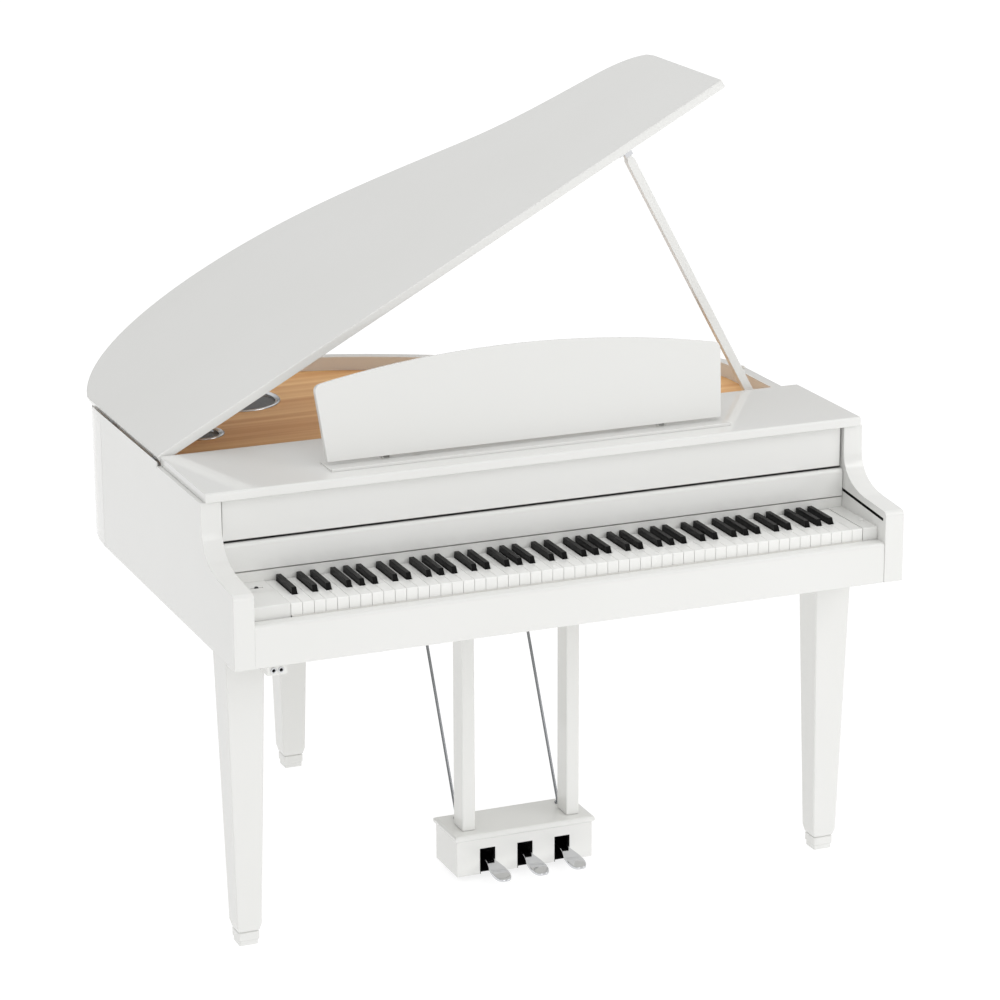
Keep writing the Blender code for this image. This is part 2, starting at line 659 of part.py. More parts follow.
HEAD_BACK = KEY_FRONT_Y + HEAD_LENGTH - KEY_PIVOT_Y
FRONT = KEY_FRONT_Y - KEY_PIVOT_Y
CAP_BACK = CAP_BACK_Y - KEY_PIVOT_Y
TOP = KEY_TOP_Z - KEY_PIVOT_Z
BODY = BODY_TOP_Z - KEY_PIVOT_Z
SADDLE = ROD_RADIUS + ROD_GAP


def notch_rows(x0, x1):
    """The open notch under a key's body, which sits over the pivot rod."""
    return [(-SADDLE - 0.0003, x0, x1, 0, BODY), (-SADDLE, x0, x1, SADDLE, BODY),
            (SADDLE, x0, x1, SADDLE, BODY)]


def white_key(bm, note):
    left = KEYS_LEFT + white_index(note) * KEY_PITCH + KEY_GAP / 2
    right = left + KEY_PITCH - KEY_GAP
    x0, x1 = left, right
    if is_black(note - 1):
        x0 = black_centre(note - 1) + BLACK_BASE_WIDTH / 2 + NOTCH_GAP
    if is_black(note + 1):
        x1 = black_centre(note + 1) - BLACK_BASE_WIDTH / 2 - NOTCH_GAP
    step = 0.0003
    stations(bm, [
        (FRONT, left, right, 0, TOP - KEY_CHAMFER),
        (FRONT + KEY_CHAMFER, left, right, 0, TOP),
        (HEAD_BACK - step, left, right, 0, TOP),
        (HEAD_BACK, x0, x1, 0, TOP),
        (CAP_BACK, x0, x1, 0, TOP),
        (CAP_BACK + step, x0, x1, 0, BODY),
    ] + notch_rows(x0, x1) + [(SADDLE + 0.0003, x0, x1, 0, BODY), (RAIL_START + 0.002, x0, x1, 0, BODY)])


def black_key(bm, note):
    centre = black_centre(note)
    half, foot = BLACK_WIDTH / 2, BLACK_BASE_WIDTH / 2
    front = HEAD_BACK + BLACK_FRONT_GAP
    crest = TOP + BLACK_RISE
    low = BODY
    rows = [(front, foot, 0, low, foot), (front + 0.0004, foot, 0, TOP + 0.001, foot - 0.0002),
            (front + 0.0060, foot, 0, crest, half), (CAP_BACK - 0.0015, foot, 0, crest, half),
            (CAP_BACK, foot, 0, BODY, half)]
    loops = []
    for y, wide, z0, z1, narrow in rows:
        loops.append([(centre - wide, y, z0), (centre + wide, y, z0), (centre + narrow, y, z1),
                      (centre - narrow, y, z1)])
    for y, x0, x1, z0, z1 in notch_rows(centre - half, centre + half):
        loops.append([(x0, y, z0), (x1, y, z0), (x1, y, z1), (x0, y, z1)])
    lift = BODY - BLACK_RAIL_THICK
    for y, z0 in ((SADDLE + 0.0003, 0), (SADDLE + 0.0008, 0), (SADDLE + 0.0011, lift),
                  (RAIL_START + 0.007, lift)):
        loops.append([(centre - half, y, z0), (centre + half, y, z0), (centre + half, y, BODY),
                      (centre - half, y, BODY)])
    loft(bm, loops)


def comb(name, notes, make_key, half_key, rail_y, rail_z0, rail_z1, look):
    """One octave's keys, and the rail that joins them."""
    bm = bmesh.new()
    for note in notes:
        make_key(bm, note)
    place = (0, KEY_PIVOT_Y, KEY_PIVOT_Z)
    keys = piece(name, bm, look, location=place)
    if half_key:
        x0, x1 = black_centre(notes[0]) - half_key, black_centre(notes[-1]) + half_key
    else:
        x0 = KEYS_LEFT + white_index(notes[0]) * KEY_PITCH + KEY_GAP / 2
        x1 = KEYS_LEFT + (white_index(notes[-1]) + 1) * KEY_PITCH - KEY_GAP / 2
    bm = bmesh.new()
    box(bm, x0, x1, rail_y, RAIL_END, rail_z0, rail_z1)
    combine(keys, tool(name + "_rail", bm, location=place), "UNION")


for octave in range(OCTAVES):
    start = 12 * (octave + 1) if octave else FIRST_NOTE
    end = LAST_NOTE if octave == OCTAVES - 1 else 12 * (octave + 2) - 1
    notes = range(start, end + 1)
    whites = [n for n in notes if n % 12 in WHITE_NOTES]
    blacks = [n for n in notes if is_black(n)]
    comb(f"white_keys_octave_{octave + 1}", whites, white_key, 0, RAIL_START, 0, WHITE_RAIL_THICK,
         ((0.88, 0.88, 0.86), 0.25))
    comb(f"black_keys_octave_{octave + 1}", blacks, black_key, BLACK_WIDTH / 2, RAIL_START + 0.0035,
         BODY - BLACK_RAIL_THICK, BODY, (SATIN_BLACK, 0.35))

# Key frame: base plate, front stop rail, and the wall that carries the pivot rod
FRAME_THICK = 0.0025
FRAME_FRONT_Y = 0.045
FRAME_BACK_Y = 0.300
STOP_Y = 0.051
STOP_WIDTH = 0.020
STOP_GAP = 0.0008
ROD_WALL = 0.004
ROD_WALL_DROP = 0.0012
frame_z = KEYBED_TOP + SEAM
bm = bmesh.new()
stop_drop = KEY_DIP * (KEY_PIVOT_Y - STOP_Y) / (KEY_PIVOT_Y - KEY_FRONT_Y) + STOP_GAP
stop_z = KEY_UNDER_Z - stop_drop
wall_z = KEY_PIVOT_Z - ROD_WALL_DROP
frame = [(FRAME_FRONT_Y, frame_z), (FRAME_FRONT_Y, frame_z + FRAME_THICK), (STOP_Y, frame_z + FRAME_THICK),
         (STOP_Y, stop_z), (STOP_Y + STOP_WIDTH, stop_z), (STOP_Y + STOP_WIDTH, frame_z + FRAME_THICK),
         (KEY_PIVOT_Y - ROD_WALL / 2, frame_z + FRAME_THICK), (KEY_PIVOT_Y - ROD_WALL / 2, wall_z),
         (KEY_PIVOT_Y + ROD_WALL / 2, wall_z), (KEY_PIVOT_Y + ROD_WALL / 2, frame_z + FRAME_THICK),
         (FRAME_BACK_Y, frame_z + FRAME_THICK), (FRAME_BACK_Y, frame_z)]
prism(bm, frame, "X", KEYS_LEFT, KEYS_RIGHT)
key_frame = piece("key_frame", bm, (STEEL, 0.4, 0.8))
bm = bmesh.new()
rod(bm, (KEYS_LEFT + 0.001, KEY_PIVOT_Y, KEY_PIVOT_Z), (KEYS_RIGHT - 0.001, KEY_PIVOT_Y, KEY_PIVOT_Z),
    ROD_RADIUS, 12)
combine(key_frame, tool("pivot_rod", bm), "UNION")

# Sensor board: a long strip on its own feet under the middle of the keys
SENSOR_Y = 0.150
SENSOR_WIDTH = 0.040
SENSOR_RISE = 0.063
SENSOR_Z = CASE_BOTTOM + SENSOR_RISE
SENSOR_THICK = 0.0016
SENSOR_FEET = 5
bm = bmesh.new()
box(bm, KEYS_LEFT, KEYS_RIGHT, SENSOR_Y, SENSOR_Y + SENSOR_WIDTH, SENSOR_Z, SENSOR_Z + SENSOR_THICK)
sensor = piece("sensor_board", bm, ((0.05, 0.25, 0.10), 0.5))
bm = bmesh.new()
for i in range(SENSOR_FEET):
    x = KEYS_LEFT + 0.03 + i * (WHITE_COUNT * KEY_PITCH - 0.06) / (SENSOR_FEET - 1)
    rod(bm, (x, SENSOR_Y + SENSOR_WIDTH / 2, frame_z + FRAME_THICK + SEAM),
        (x, SENSOR_Y + SENSOR_WIDTH / 2, SENSOR_Z + SENSOR_THICK / 2), 0.004, 8)
combine(sensor, tool("sensor_feet", bm), "UNION")

# Soundboard panel with its speaker holes, over the well
bm = bmesh.new()
prism(bm, case_plan(SIDE_THICK + SEAM, WELL_FRONT_Y), "Z", SOUNDBOARD_UNDER, SOUNDBOARD_TOP)
soundboard = piece("soundboard", bm, ((0.62, 0.38, 0.20), 0.45))
bm = bmesh.new()
for x, y, radius in SPEAKERS:
    rod(bm, (x, y, SOUNDBOARD_UNDER - 0.01), (x, y, SOUNDBOARD_TOP + 0.01), radius + SEAM, 32)
combine(soundboard, tool("speaker_cutter", bm))

# Speakers: dropped into their holes from above, each with its ring, grille, cone basket and magnet
SPEAKER_NAMES = ("large_speaker_left", "small_speaker_left", "large_speaker_right", "small_speaker_right")
BASKET_GAP = 0.0015
BASKET_SLOPE = 0.62
MAGNET_SHARE = 0.50
MAGNET_THICK = 0.020
RING_LIP = 0.004
GRILLE_DROP = 0.0035
for name, (x, y, radius) in zip(SPEAKER_NAMES, SPEAKERS):
    lip, wall = radius - RING_LIP, radius - BASKET_GAP
    depth = SOUNDBOARD_THICK + radius * BASKET_SLOPE
    profile = [(0, -depth - MAGNET_THICK), (radius * MAGNET_SHARE, -depth - MAGNET_THICK),
               (radius * MAGNET_SHARE, -depth), (wall, -SOUNDBOARD_THICK - 0.004), (wall, SEAM),
               (radius + BEZEL_WIDTH, SEAM), (radius + BEZEL_WIDTH * 0.9, BEZEL_RISE),
               (radius, BEZEL_RISE + 0.0008), (lip, BEZEL_RISE * 0.4), (lip, -GRILLE_DROP),
               (0, -GRILLE_DROP + 0.001)]
    bm = bmesh.new()
    lathe(bm, profile, Vector((0, 0, 0)), 40)
    piece(name, bm, (CHROME, 0.3, 0.8), location=(x, y, SOUNDBOARD_TOP))

# Lid, its hinges and the prop's rest, all carried by one axis that is turned up to the propped angle
lid_axis = empty("lid_axis", LID_HINGE, rotation=(0, -LID_ANGLE, 0))
LID_UNDER = LID_GAP / 2
lid_left = -HALF_WIDTH + LID_LEFT_X
lid_right = HALF_WIDTH - LID_RIGHT_X
plan = [p for p in rim_line(LID_EDGE_INSET, 2.0) if lid_left < p[0] < lid_right]
line = rim_line(LID_EDGE_INSET, 2.0)
crossing = next(b[1] for a, b in zip(line, line[1:]) if a[0] <= lid_left < b[0])
exit_y = next(b[1] for a, b in zip(line[::-1], line[-2::-1]) if a[0] >= lid_right > b[0])
plan = [(lid_left, LID_FRONT_Y), (lid_left, crossing - 0.012)] + plan
plan += [(lid_right, exit_y - 0.030), (lid_right, LID_FRONT_Y)]
plan = [(x - LID_HINGE.x, y) for x, y in plan]
bm = bmesh.new()
prism(bm, plan, "Z", LID_UNDER, LID_UNDER + LID_THICK)
lid = piece("lid", bm, (GLOSS_WHITE, 0.10), parent=lid_axis)
soften(lid, 0.003, 2)

# Hinges: the rim's leaf has two knuckles and the pin, and the lid's leaf turns on the pin between them
rim_side = LID_GAP / 2 - SEAM
third = HINGE_LENGTH / 3
KNUCKLE_GAP = 0.0006
PIN_GAP = 0.0004
LEAF_START = 0.0006
for name, y in HINGE_PLACES:
    bm = bmesh.new()
    box(bm, LEAF_START, HINGE_LEAF_WIDTH, y - HINGE_LENGTH / 2, y + HINGE_LENGTH / 2,
        -rim_side, -rim_side + HINGE_LEAF)
    rim_leaf = piece(name + "_rim_leaf", bm, (CHROME, 0.25, 1.0), location=LID_HINGE)
    bm = bmesh.new()
    rod(bm, (0, y - HINGE_LENGTH / 2, 0), (0, y + HINGE_LENGTH / 2, 0), HINGE_RADIUS, 12)
    combine(rim_leaf, tool(name + "_knuckles", bm, location=LID_HINGE), "UNION")
    bm = bmesh.new()
    box(bm, -HINGE_RADIUS - 0.001, HINGE_RADIUS + KNUCKLE_GAP, y - third / 2, y + third / 2,
        -HINGE_RADIUS - 0.001, HINGE_RADIUS + 0.001)
    combine(rim_leaf, tool(name + "_knuckle_gap", bm, location=LID_HINGE))
    bm = bmesh.new()
    rod(bm, (0, y - third / 2 - 0.004, 0), (0, y + third / 2 + 0.004, 0), HINGE_PIN_RADIUS, 10)
    combine(rim_leaf, tool(name + "_pin", bm, location=LID_HINGE), "UNION")
    bm = bmesh.new()
    start, end = y - third / 2 + KNUCKLE_GAP, y + third / 2 - KNUCKLE_GAP
    box(bm, LEAF_START, HINGE_LEAF_WIDTH, start, end, LID_UNDER - SEAM - HINGE_LEAF, LID_UNDER - SEAM)
    lid_leaf = piece(name + "_lid_leaf", bm, (CHROME, 0.25, 1.0), parent=lid_axis)
    bm = bmesh.new()
    rod(bm, (0, start, 0), (0, end, 0), HINGE_RADIUS, 12)
    combine(lid_leaf, tool(name + "_lid_knuckle", bm, parent=lid_axis), "UNION")
    bm = bmesh.new()
    rod(bm, (0, y - third, 0), (0, y + third, 0), HINGE_PIN_RADIUS + PIN_GAP, 12)
    combine(lid_leaf, tool(name + "_bore", bm, parent=lid_axis))

# Prop: a square stick from the bracket in the well, square to the lid, ending in a peg in the rest
rest_face = LID_UNDER - SEAM - REST_PLATE
tip = Vector((PROP_REACH, 0, rest_face - SEAM))
tip.rotate(Matrix.Rotation(-LID_ANGLE, 3, "Y"))
tip += LID_HINGE
prop_axis_z = SOUNDBOARD_TOP + PROP_AXIS_RISE
prop_length = (tip.z - prop_axis_z) / math.cos(LID_ANGLE)
prop_axis = Vector((tip.x + prop_length * math.sin(LID_ANGLE), PROP_Y, prop_axis_z))
half = PROP_SIDE / 2
stick = arc((0, 0), half, 180, 360, 10)
stick += [(half, prop_length - PROP_PEG_LENGTH - 0.006), (PROP_PEG_HALF, prop_length - PROP_PEG_LENGTH),
          (PROP_PEG_HALF, prop_length), (-PROP_PEG_HALF, prop_length),
          (-PROP_PEG_HALF, prop_length - PROP_PEG_LENGTH), (-half, prop_length - PROP_PEG_LENGTH - 0.006)]
bm = bmesh.new()
prism(bm, stick, "Y", -half, half)
prop = piece("prop_stick", bm, (GLOSS_WHITE, 0.2), location=prop_axis, rotation=(0, -LID_ANGLE, 0))
bm = bmesh.new()
rod(bm, (0, -half - 0.01, 0), (0, half + 0.01, 0), PROP_PIN_RADIUS + SEAM, 16)
combine(prop, tool("prop_bore", bm, location=prop_axis, rotation=(0, -LID_ANGLE, 0)))

EAR_THICK = 0.0022
EAR_GAP = 0.0006
CHEEK_REACH = half + EAR_GAP
plate_top = SEAM + 0.002
bm = bmesh.new()
ear_top = PROP_AXIS_RISE + 0.006
channel = [(-CHEEK_REACH - EAR_THICK, SEAM), (CHEEK_REACH + EAR_THICK, SEAM),
           (CHEEK_REACH + EAR_THICK, ear_top), (CHEEK_REACH, ear_top), (CHEEK_REACH, plate_top),
           (-CHEEK_REACH, plate_top), (-CHEEK_REACH, ear_top), (-CHEEK_REACH - EAR_THICK, ear_top)]
prism(bm, channel, "X", -0.011, 0.011)
base = Vector((prop_axis.x, PROP_Y, SOUNDBOARD_TOP))
bracket = piece("prop_bracket", bm, (CHROME, 0.3, 1.0), location=base)
bm = bmesh.new()
rod(bm, (0, -CHEEK_REACH - EAR_THICK / 2, PROP_AXIS_RISE), (0, CHEEK_REACH + EAR_THICK / 2, PROP_AXIS_RISE),
    PROP_PIN_RADIUS, 12)
combine(bracket, tool("prop_pin", bm, location=base), "UNION")

REST_WALL = 0.0025
REST_DEPTH = 0.008
PEG_GAP = 0.0010
bm = bmesh.new()
reach = PROP_PEG_HALF + PEG_GAP
side = half + PEG_GAP
rest_top = LID_UNDER - SEAM
box(bm, PROP_REACH - 0.020, PROP_REACH + reach + REST_WALL, PROP_Y - side - REST_WALL,
    PROP_Y + side + REST_WALL, rest_face, rest_top)
rest = piece("prop_rest", bm, (CHROME, 0.3, 1.0), parent=lid_axis)
bm = bmesh.new()
wall = [(PROP_REACH - reach, PROP_Y - side), (PROP_REACH - reach, PROP_Y - side - REST_WALL),
        (PROP_REACH + reach + REST_WALL, PROP_Y - side - REST_WALL),
        (PROP_REACH + reach + REST_WALL, PROP_Y + side + REST_WALL),
        (PROP_REACH - reach, PROP_Y + side + REST_WALL), (PROP_REACH - reach, PROP_Y + side),
        (PROP_REACH + reach, PROP_Y + side), (PROP_REACH + reach, PROP_Y - side)]
prism(bm, wall, "Z", rest_face - REST_DEPTH, rest_face + REST_PLATE / 2)
combine(rest, tool("rest_walls", bm, parent=lid_axis), "UNION")

# Music desk: hinge line just behind the panel's foot, so that it folds back flat on the top board
back = Vector((0, math.cos(DESK_TILT), -math.sin(DESK_TILT)))
desk_foot = Vector((0, DESK_FRONT_Y, DESK_BOTTOM_Z))
desk_place = desk_foot + back * (DESK_THICK + DESK_AXIS_BACK)
desk_axis = empty("desk_axis", desk_place, rotation=(-DESK_TILT, 0, 0))
sag = DESK_ARCH_HEIGHT - DESK_CORNER_HEIGHT
arch_radius = (DESK_HALF_TOP**2 + sag**2) / (2 * sag)
arch = []
ARCH_STEPS = 20
for i in range(1, ARCH_STEPS):
    x = -DESK_HALF_TOP * (1 - 2 * i / ARCH_STEPS)
    arch.append((x, DESK_ARCH_HEIGHT - arch_radius + math.sqrt(arch_radius**2 - x * x), 0))
corners = [(DESK_HALF_BOTTOM, 0, 0), (-DESK_HALF_BOTTOM, 0, 0),
           (-DESK_HALF_TOP, DESK_CORNER_HEIGHT, DESK_CORNER_ROUND)]
corners += arch + [(DESK_HALF_TOP, DESK_CORNER_HEIGHT, DESK_CORNER_ROUND)]
bm = bmesh.new()
prism(bm, rounded(corners, 4), "Y", -DESK_AXIS_BACK - DESK_THICK, -DESK_AXIS_BACK)
desk = piece("desk_panel", bm, (GLOSS_WHITE, 0.12), parent=desk_axis)
soften(desk, 0.002, 2)

# Lugs on the desk's back: two at its foot that turn on the base's ears, two pairs that hold the stays
LUG_HALF = 0.005
LUG_PIN = 0.0016
LUG_RADIUS = 0.0029
STAY_EAR_RADIUS = 0.0031
PIN_REACH = 0.0105
DESK_EAR_THICK = 0.003
lugs, lug_pins, stay_ears, stay_bore = (bmesh.new() for _ in range(4))
for side in (-1, 1):
    x = side * DESK_HINGE_X
    lug = [(-DESK_AXIS_BACK - 0.004, 0)] + arc((0, 0), LUG_RADIUS, -90, 90, 6)
    lug += [(-DESK_AXIS_BACK - 0.004, 0.007)]
    prism(lugs, lug, "X", x - LUG_HALF, x + LUG_HALF)
    rod(lug_pins, (x - PIN_REACH, 0, 0), (x + PIN_REACH, 0, 0), LUG_PIN, 10)
    for shift in (-1, 1):
        x = side * STAY_X + shift * (STAY_WIDTH / 2 + 0.0025)
        ear = [(-DESK_AXIS_BACK - 0.003, STAY_ARM - 0.010)]
        ear += arc((0, STAY_ARM), STAY_EAR_RADIUS, -90, 90, 6) + [(-DESK_AXIS_BACK - 0.003, STAY_ARM + 0.010)]
        prism(stay_ears, ear, "X", x - 0.0012, x + 0.0012)
rod(stay_bore, (-STAY_X - 0.05, 0, STAY_ARM), (STAY_X + 0.05, 0, STAY_ARM), LUG_PIN + 0.0004, 12)
combine(desk, tool("desk_lugs", lugs, parent=desk_axis), "UNION")
combine(desk, tool("desk_pins", lug_pins, parent=desk_axis), "UNION")
combine(desk, tool("stay_ears", stay_ears, parent=desk_axis), "UNION")
combine(desk, tool("stay_bore", stay_bore, parent=desk_axis))

# Folding stay: two bars joined by a round foot rod. They are as long as the desk's own arm, so the foot
# slides straight back along its rails.
STAY_FOOT = 0.0030
stay_turn = math.radians(180) + 2 * DESK_TILT
stay_axis = empty("stay_axis", (0, 0, STAY_ARM), parent=desk_axis, rotation=(stay_turn, 0, 0))
bm = bmesh.new()
for side in (-1, 1):
    bar = arc((0, 0), STAY_EAR_RADIUS, 180, 360, 6)
    bar += [(STAY_THICK / 2, 0.010), (STAY_THICK / 2, STAY_ARM), (-STAY_THICK / 2, STAY_ARM),
            (-STAY_THICK / 2, 0.010)]
    prism(bm, bar, "X", side * STAY_X - STAY_WIDTH / 2, side * STAY_X + STAY_WIDTH / 2)
stay = piece("desk_stay", bm, (CHROME, 0.3, 1.0), parent=stay_axis)
bm = bmesh.new()
reach = STAY_X + STAY_WIDTH / 2 + 0.001
rod(bm, (-reach, 0, STAY_ARM), (reach, 0, STAY_ARM), STAY_FOOT, 12)
for side in (-1, 1):
    rod(bm, (side * STAY_X - PIN_REACH, 0, 0), (side * STAY_X + PIN_REACH, 0, 0), LUG_PIN, 10)
combine(stay, tool("stay_rods", bm, parent=stay_axis), "UNION")

# Desk base: a plate with a small front ledge, two ears a side for the desk, and two rails for the stays' feet
plate_z = TOP_HEIGHT + SEAM
bm = bmesh.new()
ledge = rounded([(BASE_FRONT_Y, plate_z, 0), (BASE_FRONT_Y, plate_z + BASE_LEDGE, 0.0015),
                 (BASE_FRONT_Y + 0.006, plate_z + BASE_LEDGE, 0.0015),
                 (BASE_FRONT_Y + 0.006, plate_z + BASE_THICK, 0), (BASE_BACK_Y, plate_z + BASE_THICK, 0),
                 (BASE_BACK_Y, plate_z, 0)], 2)
prism(bm, ledge, "X", -DESK_HALF_BOTTOM - 0.004, DESK_HALF_BOTTOM + 0.004)
desk_base = piece("desk_base", bm, (GLOSS_WHITE, 0.15))
ears, rails, ear_bore = bmesh.new(), bmesh.new(), bmesh.new()
axis_rise = desk_place.z - plate_z
for side in (-1, 1):
    for shift in (-1, 1):
        x = side * DESK_HINGE_X + shift * (LUG_HALF + 0.0010 + DESK_EAR_THICK / 2)
        ear = [(desk_place.y + 0.0045, plate_z + BASE_THICK / 2)]
        ear += arc((desk_place.y, desk_place.z), 0.0042, 0, 180, 6)
        ear += [(desk_place.y - 0.0045, plate_z + BASE_THICK / 2)]
        prism(ears, ear, "X", x - DESK_EAR_THICK / 2, x + DESK_EAR_THICK / 2)
    box(rails, side * STAY_X - 0.010, side * STAY_X + 0.010, BASE_BACK_Y - 0.002, RAIL_BACK_Y,
        plate_z, plate_z + BASE_THICK)
rod(ear_bore, (-0.4, desk_place.y, desk_place.z), (0.4, desk_place.y, desk_place.z), LUG_PIN + 0.0004, 12)
combine(desk_base, tool("base_ears", ears), "UNION")
combine(desk_base, tool("base_rails", rails), "UNION")
combine(desk_base, tool("ear_bore", ear_bore))

# Boards of electronics on the bottom board
POST_RISE = 0.012
BOARD_PCB = 0.0016
chips = ((-0.10, 0.62, 0.030, 0.030), (-0.04, 0.60, 0.018, 0.018), (0.02, 0.64, 0.024, 0.014))
bm = bmesh.new()
x0, x1, y0, y1 = -0.170, 0.080, 0.540, 0.700
pcb_z = BOARD_TOP + SEAM + POST_RISE
box(bm, x0, x1, y0, y1, pcb_z, pcb_z + BOARD_PCB)
main_board = piece("main_board", bm, ((0.05, 0.25, 0.10), 0.5))
bm = bmesh.new()
for x in (x0 + 0.012, x1 - 0.012):
    for y in (y0 + 0.012, y1 - 0.012):
        rod(bm, (x, y, BOARD_TOP + SEAM), (x, y, pcb_z + BOARD_PCB / 2), 0.004, 8)
for x, y, wide, deep in chips:
    box(bm, x - wide / 2, x + wide / 2, y - deep / 2, y + deep / 2, pcb_z + BOARD_PCB / 2,
        pcb_z + BOARD_PCB + 0.003)
combine(main_board, tool("board_parts", bm), "UNION")

SUPPLY_LEFT_X = 0.160
SUPPLY_FRONT_Y = 0.540
SUPPLY_LENGTH = 0.240
SUPPLY_WIDTH = 0.140
SUPPLY_HEIGHT = 0.055
FIN_COUNT = 9
FIN_ROOT = 0.035
FIN_GAP = 0.010
FIN_MARGIN = 0.020
bm = bmesh.new()
x0, x1 = SUPPLY_LEFT_X, SUPPLY_LEFT_X + SUPPLY_LENGTH
y0, y1 = SUPPLY_FRONT_Y, SUPPLY_FRONT_Y + SUPPLY_WIDTH
box(bm, x0, x1, y0, y1, BOARD_TOP + SEAM, BOARD_TOP + SUPPLY_HEIGHT)
supply = piece("power_supply", bm, (STEEL, 0.5, 0.8))
bm = bmesh.new()
for i in range(FIN_COUNT):
    x = x0 + FIN_MARGIN + i * (x1 - x0 - 2 * FIN_MARGIN) / (FIN_COUNT - 1)
    box(bm, x - FIN_GAP / 2, x + FIN_GAP / 2, y0 - FIN_GAP, y1 + FIN_GAP, BOARD_TOP + FIN_ROOT,
        BOARD_TOP + SUPPLY_HEIGHT + FIN_GAP)
combine(supply, tool("fin_cutter", bm))

# Headphone box with its two sockets, under the front edge at the player's left
JACK_INSET = 0.0457
JACK_CENTRE_X = -PLAY_HALF + JACK_INSET
JACK_PITCH = 0.015
JACK_BOX_HALF = 0.020
JACK_FRONT_Y = 0.010
JACK_BACK_Y = 0.075
JACK_DROP = 0.020
JACK_RADIUS = 0.0033
NUT_RADIUS = 0.0052
NUT_LENGTH = 0.002
jack_top = CASE_BOTTOM - SEAM
bm = bmesh.new()
box(bm, JACK_CENTRE_X - JACK_BOX_HALF, JACK_CENTRE_X + JACK_BOX_HALF, JACK_FRONT_Y, JACK_BACK_Y,
    jack_top - JACK_DROP, jack_top)
jack_box = piece("headphone_box", bm, (GLOSS_WHITE, 0.3))
nuts, bores = bmesh.new(), bmesh.new()
z = jack_top - JACK_DROP / 2
for side in (-1, 1):
    x = JACK_CENTRE_X + side * JACK_PITCH / 2
    rod(nuts, (x, JACK_FRONT_Y - NUT_LENGTH, z), (x, JACK_FRONT_Y + 0.004, z), NUT_RADIUS, 16)
    rod(bores, (x, JACK_FRONT_Y - 0.01, z), (x, JACK_FRONT_Y + 0.018, z), JACK_RADIUS, 12)
combine(jack_box, tool("jack_nuts", nuts), "UNION")
combine(jack_box, tool("jack_bores", bores))


# Legs: square, tapered, under a coved collar; each stands in a stepped ferrule
def square(half, z, chamfer=0.002):
    """A square loop with its corners cut off."""
    h, c = half, chamfer
    return [(h, -h + c, z), (h, h - c, z), (h - c, h, z), (-h + c, h, z),
            (-h, h - c, z), (-h, -h + c, z), (-h + c, -h, z), (h - c, -h, z)]


def leg_rows():
    rows = [(FOOT_TOP, COLLAR_HALF), (FOOT_TOP - COLLAR_SLAB, COLLAR_HALF)]
    cove_top = FOOT_TOP - COLLAR_SLAB
    reach = COLLAR_HALF - 0.0015 - LEG_TOP_HALF
    for i in range(6):
        a = math.radians(90 * i / 5)
        rows.append((cove_top - COVE_RADIUS * math.sin(a) - 0.0002, LEG_TOP_HALF + reach * (1 - math.sin(a))
                     * (1 - 0.25 * math.sin(2 * a))))
    rows.append((LEG_FOOT_Z, LEG_FOOT_HALF))
    rows.append((FERRULE_TOP, ANKLE_HALF))
    rows += [(FERRULE_TOP - 0.0003, FERRULE_NECK_HALF), (FERRULE_NECK_Z, FERRULE_NECK_HALF),
             (FERRULE_NECK_Z - 0.0003, FERRULE_HALF - 0.001), (FERRULE_NECK_Z - 0.0013, FERRULE_HALF),
             (FERRULE_FOOT_Z + 0.0013, FERRULE_HALF), (FERRULE_FOOT_Z + 0.0003, FERRULE_HALF - 0.001),
             (FERRULE_FOOT_Z, FERRULE_FOOT_HALF), (0, FERRULE_FOOT_HALF)]
    return rows


for name, x, y in (("front_left_leg", LEG_SHIFT - LEG_X, FRONT_LEG_Y),
                   ("front_right_leg", LEG_SHIFT + LEG_X, FRONT_LEG_Y), ("rear_leg", REAR_LEG_X, REAR_LEG_Y)):
    bm = bmesh.new()
    loft(bm, [square(half, z) for z, half in leg_rows()])
    piece(name, bm, (GLOSS_WHITE, 0.12), location=(x, y, 0))

# Pedal lyre: two columns under one head plate, the pedal box with a moulded top edge and three open slots,
# and two brace rods that lean back to a foot plate under the case
HEAD_PLATE = 0.010
HEAD_MARGIN = 0.012
column_outer = COLUMN_X + COLUMN_WIDTH / 2
column_inner = COLUMN_X - COLUMN_WIDTH / 2
head_z = BOTTOM_Z - SEAM
bm = bmesh.new()
front = [(-column_outer, BOX_TOP + SEAM), (-column_outer, head_z - HEAD_PLATE),
         (-column_outer - HEAD_MARGIN, head_z - HEAD_PLATE), (-column_outer - HEAD_MARGIN, head_z),
         (column_outer + HEAD_MARGIN, head_z), (column_outer + HEAD_MARGIN, head_z - HEAD_PLATE),
         (column_outer, head_z - HEAD_PLATE), (column_outer, BOX_TOP + SEAM), (column_inner, BOX_TOP + SEAM),
         (column_inner, head_z - HEAD_PLATE), (-column_inner, head_z - HEAD_PLATE),
         (-column_inner, BOX_TOP + SEAM)]
prism(bm, front, "Y", COLUMN_FRONT_Y, COLUMN_FRONT_Y + COLUMN_DEPTH)
soften(piece("lyre_frame", bm, (GLOSS_WHITE, 0.12)), 0.0015, 1)

